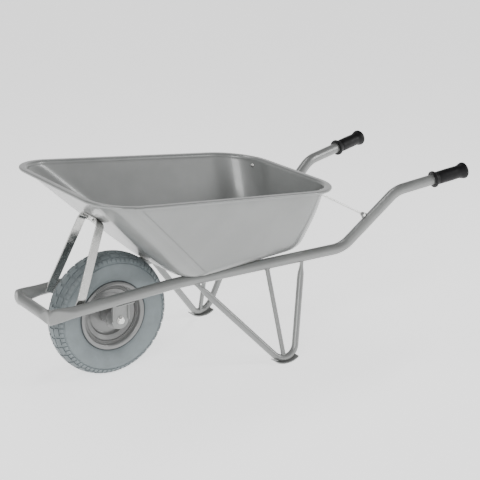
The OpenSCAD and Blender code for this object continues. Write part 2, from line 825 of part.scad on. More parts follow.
module left_stay_tab() {
    foot = tab_base + tab_normal * tube_d / 3;
    color(paint)
        difference() {
            hull() {
                tab_disc(tab_hole, stay_d * 2.6);
                tab_disc(foot + incline_dir * 14, 4);
                tab_disc(foot - incline_dir * 14, 4);
            }
            rod(tab_base - incline_dir * 40, tab_base + incline_dir * 40, tube_d + 2 * seat_gap, 64);
            translate(tab_hole) rotate([90, 0, 0]) cylinder(d = stay_hole_d, h = 20, center = true, $fn = 40);
        }
}

module right_stay_tab() {
    mirrored_y() left_stay_tab();
}

// The rod leaves each flat eye along the eye's own plane, then turns towards the other eye
function in_plane(v, n) = unit(v - n * (v * n));
stay_rod_top = stay_eye_at + stay_out * stay_d / 2;
stay_rod_low = stay_low_at - [0, stay_d / 2, 0];
stay_top_turn = stay_rod_top + in_plane(stay_rod_low - stay_rod_top, stay_out) * stay_d * 2.4;
stay_low_turn = stay_rod_low + in_plane(stay_rod_top - stay_rod_low, [0, 1, 0]) * stay_d * 2.4;

module left_stay_rod() {
    color(zinc)
        difference() {
            union() {
                aim(stay_eye_at, stay_out) cylinder(d = stay_eye_d, h = stay_eye_t, $fn = 48);
                aim(stay_low_at, [0, -1, 0]) cylinder(d = stay_eye_d, h = stay_eye_t, $fn = 48);
                rod(lerp(stay_rod_top, stay_top_turn, 0.5), stay_top_turn, stay_d);
                rod(stay_top_turn, stay_low_turn, stay_d);
                rod(lerp(stay_rod_low, stay_low_turn, 0.5), stay_low_turn, stay_d);
                translate(stay_top_turn) sphere(d = stay_d * 1.1, $fn = 32);
                translate(stay_low_turn) sphere(d = stay_d * 1.1, $fn = 32);
            }
            rod(stay_wall_at - stay_out * 12, stay_wall_at + stay_out * 16, stay_hole_d, 40);
            translate(tab_hole) rotate([90, 0, 0]) cylinder(d = stay_hole_d, h = 40, center = true, $fn = 40);
        }
}

module right_stay_rod() {
    mirrored_y() left_stay_rod();
}

stay_nut_h = stay_d * 0.8;
stay_af = stay_d * 1.65;
stay_in_at = stay_wall_at - stay_out * (sheet / 2 + 3 * seat_gap);

module stay_bolts() {
    color(zinc)
        for (s = [1, -1])
            on_side(s) {
                aim(stay_in_at, -stay_out) dome_head(stay_d * 2.1, stay_d * 0.5);
                rod(stay_in_at - stay_out * 0.5, stay_eye_at + stay_out * (stay_eye_t + stay_nut_h + 3), stay_d);
                aim(tab_hole + [0, stay_tab_t / 2 + seat_gap, 0], [0, 1, 0]) hex_head(stay_af, stay_d * 0.6);
                rod(tab_hole + [0, stay_tab_t / 2 + seat_gap + 0.5, 0],
                    stay_low_at - [0, stay_eye_t + stay_nut_h + 3, 0], stay_d);
            }
}

module stay_nuts() {
    color(zinc)
        for (s = [1, -1])
            on_side(s) {
                aim(stay_eye_at + stay_out * (stay_eye_t + seat_gap), stay_out)
                    hex_nut(stay_af, stay_nut_h, stay_d + 0.2);
                aim(stay_low_at - [0, stay_eye_t + seat_gap, 0], [0, -1, 0])
                    hex_nut(stay_af, stay_nut_h, stay_d + 0.2);
            }
}

// --- wheel ---

rim_sheet = 2.5;
flange_r = rim_d / 2;
bead_r = flange_r - 14;
flange_y = rim_flange_w / 2 - rim_sheet / 2;
tyre_r = tyre_d / 2;
section_r = (tyre_r - bead_r) / 2;
section_c = bead_r + section_r;

module about_axle() {
    translate([axle_x, 0, axle_z]) rotate([-90, 0, 0]) rotate_extrude($fn = 128) children();
}

function spow(v, e) = sign(v) * pow(abs(v), e);

// A tyre section's outline from one bead round the crown to the other: [radius, y]
function section(half_w, half_h, centre, from, to, step) =
    [for (a = [from : step : to]) [centre + half_h * spow(sin(a), 0.87), half_w * spow(cos(a), 0.87)]];

module tyre() {
    bead_y = flange_y - rim_sheet / 2 - 0.3;
    bead = [[bead_r + 7, bead_y - 11], [bead_r + 0.4, bead_y - 11], [bead_r + 0.4, bead_y - 4],
            [bead_r + 4.4, bead_y], [flange_r + 0.6, bead_y], [flange_r + 2, bead_y + 3]];
    color(rubber_grey)
        about_axle()
            polygon(concat(
                bead,
                section(tyre_w / 2, section_r, section_c, -34, 214, 4),
                reverse([for (q = bead) [q[0], -q[1]]]),
                reverse(section(tyre_w / 2 - 7, section_r - 10, section_c - 1, -42, 222, 6))));
}

module inner_tube() {
    color(black)
        about_axle()
            difference() {
                polygon(section(tyre_w / 2 - 7.4, section_r - 10.4, section_c - 1, 0, 354, 6));
                polygon(section(tyre_w / 2 - 10, section_r - 13, section_c - 1, 0, 354, 6));
            }
}

disc_r = bead_r - 25;
step_r = bead_r - 12;
disc_y = rim_sheet / 2 + seat_gap / 2;
hub_seat_r = hub_d / 2 + seat_gap;
// Mid-line of a pressed rim half, from the hub out to the flange's lip: [radius, y]
rim_line = concat(
    [[hub_seat_r, disc_y], [disc_r - 14, disc_y]],
    [for (a = [30 : 30 : 90]) [disc_r - 14 + 10 * sin(a), disc_y + 10 * (1 - cos(a))]],
    [[disc_r - 3, disc_y + 15]],
    [for (a = [60 : -30 : 0]) [step_r - 5 * cos(90 - a), disc_y + 23 - 5 * sin(90 - a)]],
    [[step_r + 1, disc_y + 24]],
    [for (a = [30 : 30 : 90]) [bead_r - 7 + 6 * sin(a), disc_y + 24 + 6 * (1 - cos(a)) - 4]],
    [[bead_r - 1.25, flange_y - 5]],
    [for (a = [30 : 30 : 90]) [bead_r - 1.25 + 5 * (1 - cos(a)), flange_y - 5 + 5 * sin(a)]],
    [[flange_r - 1.5, flange_y]]);

function offset_line(l, dist) = [for (i = [0 : len(l) - 1]) l[i] + line_normal(l, i) * dist];

module left_rim_half() {
    color(rim_paint)
        difference() {
            about_axle()
                polygon(concat(offset_line(rim_line, rim_sheet / 2), reverse(offset_line(rim_line, -rim_sheet / 2))));
        }
}

module right_rim_half() {
    color(rim_paint)
        difference() {
            mirrored_y() left_rim_half();
            valve_line(valve_d + 1.5);
        }
}

bearing_d = axle_d + 20;
bearing_w = 10;

module hub_tube() {
    color(rim_paint)
        at_axle(-hub_l / 2, 1)
            difference() {
                cylinder(d = hub_d, h = hub_l, $fn = 96);
                translate([0, 0, -1]) cylinder(d = bearing_d - 4, h = hub_l + 2, $fn = 96);
                for (z = [-1, hub_l - bearing_w - seat_gap])
                    translate([0, 0, z]) cylinder(d = bearing_d + 0.1, h = bearing_w + 1 + seat_gap, $fn = 96);
            }
}

module left_bearing() {
    color(zinc)
        at_axle(hub_l / 2 - bearing_w, 1) ring_solid(bearing_d, axle_d + 2 * running_gap, bearing_w);
}

module right_bearing() {
    mirrored_y() left_bearing();
}

hub_cap_t = 5;
hub_cap_d = hub_d + 14;

module left_hub_cap() {
    color(rim_paint)
        at_axle(hub_l / 2 + seat_gap, 1)
            difference() {
                cylinder(d = hub_cap_d, h = hub_cap_t, $fn = 96);
                translate([0, 0, -1]) cylinder(d = spacer_d + 2, h = hub_cap_t + 2, $fn = 64);
            }
}

module right_hub_cap() {
    mirrored_y() left_hub_cap();
}

// The valve leans out through the right rim half's side, from under the inner tube
valve_d = 9;
valve_l = 52;
tube_low_r = section_c - 1 - (section_r - 10.4);
valve_dir = unit([0, -(disc_y + 18), step_r - 6 - tube_low_r]);
valve_in = [axle_x, -1.5, axle_z + tube_low_r] + valve_dir * 3.4;

module valve_line(d) {
    rod(valve_in + valve_dir * 4, valve_in + valve_dir * valve_l, d, 40);
}

module valve_stem() {
    color(black)
        rod(valve_in, valve_in + valve_dir * valve_l, valve_d, 40);
}

module valve_cap() {
    color(black)
        aim(valve_in + valve_dir * (valve_l + seat_gap), valve_dir)
            cylinder(d1 = valve_d - 1, d2 = valve_d - 2.5, h = 9, $fn = 40);
}

frame_tube();
left_grip();
right_grip();
tray();
front_strap();
left_leg();
right_leg();
left_leg_brace();
right_leg_brace();
left_skid();
right_skid();
left_axle_bracket();
right_axle_bracket();
axle_bolt();
axle_nut();
axle_washers();
left_axle_spacer();
right_axle_spacer();
left_stay_rod();
right_stay_rod();
left_stay_tab();
right_stay_tab();
stay_bolts();
stay_nuts();
tray_bolts();
tray_bolt_inserts();
strap_bolts();
strap_nuts();
tyre();
inner_tube();
left_rim_half();
right_rim_half();
hub_tube();
left_bearing();
right_bearing();
left_hub_cap();
right_hub_cap();
valve_stem();
valve_cap();
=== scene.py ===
"""A builder's wheelbarrow: painted tube and pressed steel, grey rubber and zinc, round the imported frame."""

import json
import math

import bmesh
import bpy
from bpy.props import FloatProperty, FloatVectorProperty, IntProperty, PointerProperty
from mathutils import Matrix, Vector


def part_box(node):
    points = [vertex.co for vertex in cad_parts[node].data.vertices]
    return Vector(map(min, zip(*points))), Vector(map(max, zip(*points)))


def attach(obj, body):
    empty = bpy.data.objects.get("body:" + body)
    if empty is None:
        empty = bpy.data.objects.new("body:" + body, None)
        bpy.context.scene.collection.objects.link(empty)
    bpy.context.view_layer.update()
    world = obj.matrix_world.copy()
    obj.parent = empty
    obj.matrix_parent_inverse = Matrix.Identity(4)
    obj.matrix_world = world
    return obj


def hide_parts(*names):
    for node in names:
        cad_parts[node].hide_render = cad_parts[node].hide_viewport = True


bl_info = {
    "name": "Builder's wheelbarrow",
    "version": (1, 0, 0),
    "blender": (4, 5, 0),
    "location": "View3D > Sidebar > Wheelbarrow",
    "description": "Models a builder's wheelbarrow piece by piece round its packed frame",
    "category": "Object",
}

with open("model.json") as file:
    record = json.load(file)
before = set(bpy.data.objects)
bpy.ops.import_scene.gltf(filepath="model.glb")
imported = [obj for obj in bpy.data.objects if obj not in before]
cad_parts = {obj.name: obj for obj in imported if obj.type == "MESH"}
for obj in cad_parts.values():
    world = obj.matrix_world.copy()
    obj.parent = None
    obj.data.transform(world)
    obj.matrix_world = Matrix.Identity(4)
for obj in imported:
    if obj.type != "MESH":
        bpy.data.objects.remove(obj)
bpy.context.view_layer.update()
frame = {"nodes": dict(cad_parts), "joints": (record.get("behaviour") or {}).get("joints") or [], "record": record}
UP = Vector((0, 0, 1))
AXLE = Vector(frame["joints"][0]["pos_m"])
FRONT_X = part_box("frame_tube")[1].x
TYRE_R = AXLE.z
TYRE_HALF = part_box("tyre")[1].y
RIM_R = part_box("left_rim_half")[1].z - AXLE.z
RIM_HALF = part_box("left_rim_half")[1].y
BEAD_R = RIM_R - 0.014  # where the tyre's feet sit on the rim
TRAY_FRONT_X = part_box("tray")[1].x
TRAY_BACK_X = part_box("tray")[0].x
TRAY_LIP = 0.014  # from the rim down to the straight wall
TRAY_FILLET = 0.052  # from the floor's corner up to the straight wall
TRAY_BULGE = 0.005  # how far the wall swells outwards
LIMB_T = 0.009  # thickness of a leg's pressed top
CLEAR = 0.0002  # gap between pieces that only just meet


# --- sizes a user may change ---


def in_metres(name, description, default):
    return FloatProperty(name=name, description=description, default=default, unit="LENGTH")


def in_degrees(name, description, default):
    return FloatProperty(name=name, description=description, default=math.radians(default), subtype="ANGLE")


def as_colour(name, description, default):
    return FloatVectorProperty(name=name, description=description, default=default, subtype="COLOR")


class FrameSizes(bpy.types.PropertyGroup):
    """The bent frame tube"""

    tube: in_metres("Tube", "Outside diameter of the frame tube", 0.036)
    rail_gap: in_metres("Rail gap", "Distance between the rails' centres", 0.234)
    front_h: in_metres("Front height", "Height of the front bar's centre", 0.270)
    rise: in_degrees("Rise", "Rise of the rails", 3.3)
    spread_back: in_metres("Spread", "From the axle back to where the rails spread", 0.178)
    grip_gap: in_metres("Grip gap", "Distance between the grips' ends", 0.566)
    grip_h: in_metres("Grip height", "Height of the grips' ends", 0.541)
    handle_run: in_metres("Handle run", "Length of the handles along X", 0.268)
    handle_rise: in_degrees("Handle rise", "Slope of the handles", 8.7)
    incline: in_degrees("Incline", "Slope below the handles", 40.8)
    bend_r: in_metres("Bend radius", "Centreline radius of the handle bends", 0.1)
    corner_t: in_metres("Pressed corner", "Thickness of the pressed front corners", 0.015)
    grip_l: in_metres("Grip length", "Length of a grip", 0.132)
    grip_d: in_metres("Grip body", "Diameter of a grip's body", 0.044)
    collar_d: in_metres("Grip collar", "Diameter of a grip's collar", 0.056)


class TraySizes(bpy.types.PropertyGroup):
    """The pressed tray"""

    front_w: in_metres("Front width", "Width over the rim at the front", 0.672)
    back_w: in_metres("Back width", "Width over the rim at the back", 0.608)
    rim_front_h: in_metres("Front height", "Height of the rim at the front", 0.646)
    rim_back_h: in_metres("Back height", "Height of the rim at the back", 0.557)
    rim_w: in_metres("Rim width", "Width of the rim's flange", 0.027)
    roll: in_metres("Rolled edge", "Diameter of the rolled edge", 0.010)
    sheet: in_metres("Sheet", "Thickness of the sheet", 0.0015)
    floor_l: in_metres("Floor length", "Length of the floor", 0.484)
    floor_w: in_metres("Floor width", "Width of the floor", 0.370)
    floor_back: in_metres("Floor setback", "From the axle back to the floor's front", 0.184)
    corner_steps: IntProperty(name="Corner steps", description="Faces round each corner", default=14, min=6,
                              max=32)


class LegSizes(bpy.types.PropertyGroup):
    """The two V legs"""

    tube: in_metres("Tube", "Outside diameter of a leg's tube", 0.022)
    foot_gap: in_metres("Foot gap", "Distance between the feet", 0.508)
    front_back: in_metres("Front limb", "From the axle back to a front limb's top", 0.252)
    spread: in_metres("Spread", "Distance between the limbs' tops", 0.369)
    foot_back: in_metres("Foot", "From the axle back to the foot", 0.505)
    bend_r: in_metres("Bend radius", "Centreline radius of the foot's bend", 0.046)
    brace: in_metres("Brace", "Diameter of a brace", 0.015)


class Finishes(bpy.types.PropertyGroup):
    """Colours of the finishes"""

    frame_grey: as_colour("Frame paint", "Silver-grey paint of the frame", (0.225, 0.23, 0.226))
    tray_grey: as_colour("Tray paint", "Silver-grey paint of the tray", (0.235, 0.242, 0.238))
    rim_grey: as_colour("Rim paint", "Grey paint of the wheel rim", (0.2, 0.202, 0.2))
    rubber: as_colour("Tyre rubber", "Blue-grey rubber of the tyre", (0.178, 0.205, 0.213))
    grip: as_colour("Grip plastic", "Black plastic of the grips", (0.005, 0.005, 0.0055))
    zinc: as_colour("Zinc", "Bright zinc plating", (0.78, 0.78, 0.76))
    floor: as_colour("Floor", "Pale studio floor", (0.93, 0.93, 0.93))


def sizes():
    """The scene's own copy of every size group."""
    return bpy.context.scene.wheelbarrow


class Wheelbarrow(bpy.types.PropertyGroup):
    """Every size and colour of the wheelbarrow"""

    frame: PointerProperty(type=FrameSizes)
    tray: PointerProperty(type=TraySizes)
    leg: PointerProperty(type=LegSizes)
    finish: PointerProperty(type=Finishes)


# --- lines of the frame, the tray and the legs ---


def lerp(a, b, t):
    return a + (b - a) * t


def smooth(t):
    return t * t * (3 - 2 * t)


def flip(v):
    return Vector((v.x, -v.y, v.z))


def arc(p, v, q, radius, steps):
    """Points of an arc that rounds the corner v between p and q."""
    u, w = (p - v).normalized(), (q - v).normalized()
    half = math.acos(max(-1.0, min(1.0, u.dot(w)))) / 2
    centre = v + (u + w).normalized() * radius / math.sin(half)
    sweep = math.pi - 2 * half
    start, stop = (v + way * radius / math.tan(half) - centre for way in (u, w))
    points = []
    for i in range(steps + 1):
        spoke = start * math.sin((1 - i / steps) * sweep) + stop * math.sin(i / steps * sweep)
        points.append(centre + spoke / math.sin(sweep))
    return points


def turns(start, stop, step):
    """Angles in radians from start up to stop, which are given in degrees."""
    return [math.radians(angle) for angle in range(start, stop + 1, step)]


def pressed_height(diameter, thickness):
    """Height of a tube's section once it is pressed to a thickness and its girth is kept."""
    return (math.pi * diameter - math.pi * thickness) / 2 + thickness


def rail_half():
    """Half the height of a rail, measured straight up."""
    s = sizes().frame
    return s.tube / 2 / math.cos(s.rise)


def rail_z(x):
    s = sizes().frame
    return s.front_h + math.tan(s.rise) * (FRONT_X - s.tube / 2 - x)


def grip_end_x():
    """Middle of a grip's end, set so that the leaning collar just reaches the back of the box."""
    s = sizes().frame
    hind_in, hind_down = 0.0003, 0.00593  # the collar's hindmost point, from its end and from its edge
    spread = (s.grip_gap - s.rail_gap) / 2 / (AXLE.x - s.spread_back + FRONT_X)
    slant = math.atan(math.hypot(spread, math.tan(s.handle_rise)))
    return -FRONT_X + (s.collar_d / 2 - hind_down) * math.sin(slant) - hind_in * math.cos(slant)


def rail_y(x):
    s = sizes().frame
    start = AXLE.x - s.spread_back
    spread = (s.grip_gap - s.rail_gap) / 2 / (start - grip_end_x())
    return s.rail_gap / 2 + max(0.0, spread * (start - x))


def rail_point(x):
    return Vector((x, rail_y(x), rail_z(x)))


def handle_points():
    """Heel, knee and end of the left handle's centreline."""
    s = sizes().frame
    end_x = grip_end_x()
    knee_x, knee_z = end_x + s.handle_run, s.grip_h - s.handle_run * math.tan(s.handle_rise)
    rise, slope = math.tan(s.rise), math.tan(s.incline)
    heel_z = (s.front_h + rise * (FRONT_X - s.tube / 2 - knee_x - knee_z / slope)) / (1 - rise / slope)
    heel_x = knee_x + (knee_z - heel_z) / slope
    return (Vector((heel_x, rail_y(heel_x), heel_z)), Vector((knee_x, rail_y(knee_x), knee_z)),
            Vector((end_x, s.grip_gap / 2, s.grip_h)))


# --- modelling tools ---


def start_mesh(name):
    """An empty mesh object at the origin, open in edit mode."""
    if bpy.context.object and bpy.context.object.mode != "OBJECT":
        bpy.ops.object.mode_set(mode="OBJECT")
    bpy.ops.object.select_all(action="DESELECT")
    bpy.ops.mesh.primitive_plane_add(size=1, location=(0, 0, 0))
    piece = bpy.context.object
    piece.name = piece.data.name = name
    bpy.ops.object.mode_set(mode="EDIT")
    bpy.ops.mesh.delete(type="VERT")
    return piece


def finish_mesh(piece, angle=40, merge=1e-5):
    """Merges doubles, turns the normals outwards and shades the faces smoothly up to an angle."""
    bpy.ops.mesh.select_all(action="SELECT")
    bpy.ops.mesh.remove_doubles(threshold=merge)
    bpy.ops.mesh.normals_make_consistent(inside=False)
    bpy.ops.object.mode_set(mode="OBJECT")
    shade(piece, angle)
    return piece


def shade(piece, angle=40):
    select_only(piece)
    bpy.ops.object.shade_smooth_by_angle(angle=math.radians(angle))


def select_only(piece):
    bpy.ops.object.select_all(action="DESELECT")
    piece.select_set(True)
    bpy.context.view_layer.objects.active = piece


def finish_with(piece, kind, **settings):
    """Adds a modifier and applies it."""
    select_only(piece)
    modifier = piece.modifiers.new(kind.title(), kind)
    for key, value in settings.items():
        setattr(modifier, key, value)
    bpy.ops.object.modifier_apply(modifier=modifier.name)


def turned(direction, up):
    """Rotation whose Z runs along direction and whose Y leans to up."""
    z = direction.normalized()
    x = up.cross(z).normalized()
    return Matrix((x, z.cross(x), z)).transposed().to_euler()


def cleared_mesh():
    """The mesh that is open in edit mode, with nothing selected."""
    mesh = bmesh.from_edit_mesh(bpy.context.object.data)
    for item in (*mesh.faces, *mesh.edges, *mesh.verts):
        item.select = False
    return mesh


def update_mesh():
    bmesh.update_edit_mesh(bpy.context.object.data)


def select_ring(first, last):
    """Selects the edges between the vertices numbered first to last, in edit mode."""
    mesh = cleared_mesh()
    mesh.select_mode = {"EDGE"}
    for edge in mesh.edges:
        if all(first <= v.index < last for v in edge.verts):
            edge.select = True
    mesh.select_flush_mode()
    update_mesh()


def count_verts():
    return len(bmesh.from_edit_mesh(bpy.context.object.data).verts)


def stretch(value, turn, centre):
    """Scales what is selected along the axes of a rotation."""
    bpy.ops.transform.resize(value=value, orient_type="LOCAL", orient_matrix=turn, orient_matrix_type="LOCAL",
                             center_override=centre)


def add_ring(centre, direction, up, width, height, sides, pressed=False):
    """Adds one cross-section of a tube. A pressed one keeps round edges and gets flat sides."""
    turn = turned(direction, up).to_matrix()
    first = count_verts()
    bpy.ops.mesh.select_all(action="DESELECT")
    bpy.ops.mesh.primitive_circle_add(vertices=sides, radius=width / 2, fill_type="NOTHING", location=centre,
                                      rotation=turn.to_euler())
    if abs(height - width) < 1e-6:
        return first
    if not pressed:
        stretch((1, height / width, 1), turn, centre)
        return first
    lift = turn @ Vector((0, (height - width) / 2, 0))
    for way in (1, -1):
        mesh = bmesh.from_edit_mesh(bpy.context.object.data)
        mesh.verts.ensure_lookup_table()
        for v in mesh.verts:
            v.select = v.index >= first and (v.co - centre).dot(lift) * way > 1e-9
        mesh.select_flush(True)
        update_mesh()
        bpy.ops.transform.translate(value=lift * way)
    return first


def bridge_rings(starts, end, closed=False):
    """Bridges the rings that start at these vertex numbers, one to the next."""
    marks = [*starts, end]
    bpy.ops.mesh.select_mode(type="EDGE")
    for first, last in zip(marks, marks[2:]):
        select_ring(first, last)
        bpy.ops.mesh.bridge_edge_loops(type="SINGLE")
    if closed:
        sides = starts[1] - starts[0]
        mesh = cleared_mesh()
        for edge in mesh.edges:
            a, b = (v.index // sides for v in edge.verts)
            edge.select = a == b and a in (0, len(starts) - 1)
        update_mesh()
        bpy.ops.mesh.bridge_edge_loops(type="SINGLE")


def cap_ring(first, last):
    select_ring(first, last)
    bpy.ops.mesh.edge_face_add()


def cap_back_end():
    """Closes the open end that lies furthest back."""
    mesh = cleared_mesh()
    back = min(v.co.x for v in mesh.verts)
    for edge in mesh.edges:
        edge.select = edge.is_boundary and all(v.co.x < back + 0.02 for v in edge.verts)
    update_mesh()
    bpy.ops.mesh.edge_face_add()


def tube(name, stations, sides, caps=True, angle=40):
    """A tube through stations of centre, width, height, up and pressed, mitred where it turns."""
    sharp_mitre = 1.05
    piece = start_mesh(name)
    starts = []
    last = len(stations) - 1
    for i, (centre, width, height, up, pressed) in enumerate(stations):
        before = (centre - stations[i - 1][0]).normalized() if i else None
        after = (stations[i + 1][0] - centre).normalized() if i < last else None
        before, after = before or after, after or before
        direction = (before + after).normalized()
        mitre = 1 / max(0.5, direction.dot(after))
        flat_up = (up - direction * up.dot(direction)).normalized()
        across = flat_up.cross(direction)
        sideways = abs((after - before).normalized().dot(across)) if (after - before).length > 1e-4 else 0
        sharp = mitre > sharp_mitre
        if sharp or not pressed:
            width *= lerp(1, mitre, sideways)
        if not pressed:
            height *= lerp(mitre, 1, sideways)
        starts.append(add_ring(centre, direction, flat_up, width, height, sides, pressed and not sharp))
    end = count_verts()
    bridge_rings(starts, end)
    if caps:
        cap_ring(starts[0], starts[1])
        cap_ring(starts[-1], end)
    return finish_mesh(piece, angle)


def draw_line(points):
    """Draws a line of points from one vertex by extruding it."""
    bpy.ops.mesh.select_all(action="DESELECT")
    bpy.ops.mesh.primitive_circle_add(vertices=3, radius=0.001, location=points[0])
    bpy.ops.mesh.merge(type="CENTER")
    for a, b in zip(points, points[1:]):
        bpy.ops.mesh.extrude_region_move(TRANSFORM_OT_translate={"value": b - a})


def spun(name, profile, centre, axis, across, steps, angle, closed=False):
    """A body turned round an axis from a profile of (distance along the axis, radius)."""
    piece = start_mesh(name)
    bpy.ops.mesh.select_mode(type="VERT")
    points = [centre + axis * a + across * r for a, r in profile]
    draw_line(points)
    if closed:
        bpy.ops.mesh.select_all(action="SELECT")
        mesh = bmesh.from_edit_mesh(piece.data)
        mesh.verts.ensure_lookup_table()
        for v in mesh.verts:
            v.select = v.index in (0, len(points) - 1)
        mesh.select_flush(False)
        update_mesh()
        bpy.ops.mesh.edge_face_add()
    bpy.ops.mesh.select_all(action="SELECT")
    bpy.ops.mesh.spin(steps=steps, angle=math.tau, center=centre, axis=axis)
    return finish_mesh(piece, angle, 2e-5)


def own_copy(piece, name):
    """A copy with its own mesh, which carries over what the first one says it rides on and stands for."""
    select_only(piece)
    bpy.ops.object.duplicate()
    copy = bpy.context.object
    copy.name = copy.data.name = name
    return copy


def forget_marks(piece):
    for key in list(piece.keys()):
        del piece[key]


def mirrored_copy(piece, name):
    """A copy on the other side, with its own mesh."""
    copy = own_copy(piece, name)
    bpy.ops.object.mode_set(mode="EDIT")
    bpy.ops.mesh.select_all(action="SELECT")
    bpy.ops.transform.resize(value=(1, -1, 1), center_override=(0, 0, 0))
    bpy.ops.mesh.flip_normals()
    bpy.ops.object.mode_set(mode="OBJECT")
    return copy


def softened_copy(node, name, width):
    """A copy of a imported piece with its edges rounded."""
    copy = own_copy(frame["nodes"][node], name)
    forget_marks(copy)
    world = copy.matrix_world.copy()
    copy.parent = None
    copy.matrix_world = world
    bpy.ops.object.mode_set(mode="EDIT")
    bpy.ops.mesh.select_all(action="SELECT")
    bpy.ops.mesh.remove_doubles(threshold=2e-5)
    bpy.ops.mesh.dissolve_limited(angle_limit=math.radians(0.5))
    bpy.ops.object.mode_set(mode="OBJECT")
    copy.data.materials.clear()
    bevel_edges(copy, width, 2, 30)
    shade(copy, 35)
    return copy


def bevel_edges(piece, width, segments, angle):
    """Rounds the edges that are sharper than an angle in degrees."""
    finish_with(piece, "BEVEL", width=width, segments=segments, limit_method="ANGLE",
                angle_limit=math.radians(angle))


def dress(piece, material, body, slot_name, *replaced):
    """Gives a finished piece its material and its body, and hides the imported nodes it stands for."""
    piece.data.materials.clear()
    piece.data.materials.append(material)
    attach(piece, body)
    if replaced:
        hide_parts(*replaced)


def dress_both(left, material, body, slot_name, node, fresh=False):
    """Dresses a left-hand piece, and its mirrored copy on the right.

    The copy keeps the left-hand piece's custom properties, unless it starts fresh.
    """
    dress(left, material, body, slot_name, "left_" + node)
    right = mirrored_copy(left, left.name.replace("left", "right"))
    if fresh:
        forget_marks(right)
    dress(right, material, body, slot_name, "right_" + node)


# --- finishes ---


class Finish:
    """A material with a principled shader and a short way to add nodes."""

    def __init__(self, name, **constants):
        self.material = bpy.data.materials.new(name)
        self.material.use_nodes = True
        self.tree = self.material.node_tree
        self.shader = self.tree.nodes["Principled BSDF"]
        self.place = self.add("ShaderNodeTexCoord").outputs["Object"]
        for key, value in constants.items():
            self.shader.inputs[key.replace("_", " ")].default_value = value

    def feed(self, socket, value):
        """Links an output to a socket, or sets the socket itself to a constant."""
        if isinstance(value, bpy.types.NodeSocket):
            self.tree.links.new(value, socket)
        else:
            socket.default_value = value

    def add(self, kind, settings=None, **inputs):
        node = self.tree.nodes.new(kind)
        for key, value in (settings or {}).items():
            setattr(node, key, value)
        for key, value in inputs.items():
            self.feed(node.inputs[key.replace("_", " ")], value)
        return node

    def link(self, output, name):
        self.tree.links.new(output, self.shader.inputs[name])

    def noise(self, scale, detail=3.0, roughness=0.55):
        return self.add("ShaderNodeTexNoise", Vector=self.place, Scale=scale, Detail=detail,
                        Roughness=roughness).outputs["Fac"]

    def ramp(self, factor, low, high, start=0.0, end=1.0):
        node = self.add("ShaderNodeMapRange", {"interpolation_type": "SMOOTHSTEP"}, Value=factor,
                        From_Min=low, From_Max=high, To_Min=start, To_Max=end)
        return node.outputs["Result"]

    def blend(self, factor, *tones):
        """Mixes two colours, each a constant or an output."""
        node = self.add("ShaderNodeMix", {"data_type": "RGBA", "blend_type": "MIX"})
        self.feed(node.inputs[0], factor)
        for socket, tone in zip(node.inputs[6:8], tones):
            self.feed(socket, tone if isinstance(tone, bpy.types.NodeSocket) else (*tone, 1))
        return node.outputs[2]

    def math(self, kind, *values):
        node = self.add("ShaderNodeMath", {"operation": kind})
        for socket, value in zip(node.inputs, values):
            self.feed(socket, value)
        return node.outputs[0]

    def vector(self, kind, *values, out="Vector"):
        node = self.add("ShaderNodeVectorMath", {"operation": kind})
        for socket, value in zip(node.inputs, values):
            self.feed(socket, value)
        return node.outputs[out]

    def bump(self, height, strength, distance, under=None):
        node = self.add("ShaderNodeBump", Height=height, Strength=strength, Distance=distance)
        if under is not None:
            self.tree.links.new(under, node.inputs["Normal"])
        return node.outputs["Normal"]


def shades(colour, factor):
    return tuple(min(1.0, c * factor) for c in colour)


def paint(name, colour, gloss, coat=0.0, wave=1.0, metallic=0.3):
    """Sprayed silver-grey paint: faint mottle, metal flake, orange peel, thin dust and light rubbed marks."""
    f = Finish(name, Metallic=metallic, Coat_Weight=coat, Coat_Roughness=0.1, Specular_IOR_Level=0.55)
    mottle = f.noise(7, 4)
    tone = f.blend(f.ramp(mottle, 0.35, 0.65), shades(colour, 0.95), shades(colour, 1.05))
    flake = f.add("ShaderNodeTexVoronoi", Vector=f.place, Scale=900.0)
    tone = f.blend(f.ramp(flake.outputs["Distance"], 0.25, 0.05, 0.0, 0.3), tone, shades(colour, 1.35))
    geometry = f.add("ShaderNodeNewGeometry").outputs
    up = f.add("ShaderNodeSeparateXYZ", Vector=geometry["Normal"]).outputs["Z"]
    dust = f.math("MULTIPLY", f.ramp(up, 0.35, 0.95), f.ramp(f.noise(22, 5, 0.7), 0.45, 0.75))
    tone = f.blend(f.math("MULTIPLY", dust, 0.1), tone, shades(colour, 1.5))
    streaks = f.add("ShaderNodeMapping", Vector=f.place, Scale=(3, 3, 0.5))
    rubbed = f.add("ShaderNodeTexNoise", Vector=streaks.outputs["Vector"], Scale=45, Detail=8, Roughness=0.75)
    scuffs = f.ramp(rubbed.outputs["Fac"], 0.66, 0.78)
    tone = f.blend(f.math("MULTIPLY", scuffs, 0.1), tone, shades(colour, 0.6))
    edges = f.ramp(geometry["Pointiness"], 0.52, 0.58)
    worn = f.math("MULTIPLY", edges, f.ramp(f.noise(120, 5, 0.7), 0.5, 0.62))
    tone = f.blend(f.math("MULTIPLY", worn, 0.25), tone, shades(colour, 1.6))
    f.link(tone, "Base Color")
    sheen = f.ramp(f.noise(14, 4), 0.3, 0.7, gloss - 0.03, gloss + 0.05)
    rough = f.math("ADD", sheen, f.math("MULTIPLY", dust, 0.05))
    f.link(f.math("ADD", rough, f.math("MULTIPLY", scuffs, 0.06)), "Roughness")
    peel = f.bump(f.noise(520, 2), 0.1, 0.0004)
    f.link(f.bump(f.noise(9, 2), 0.25 * wave, 0.004, peel), "Normal")
    return f.material


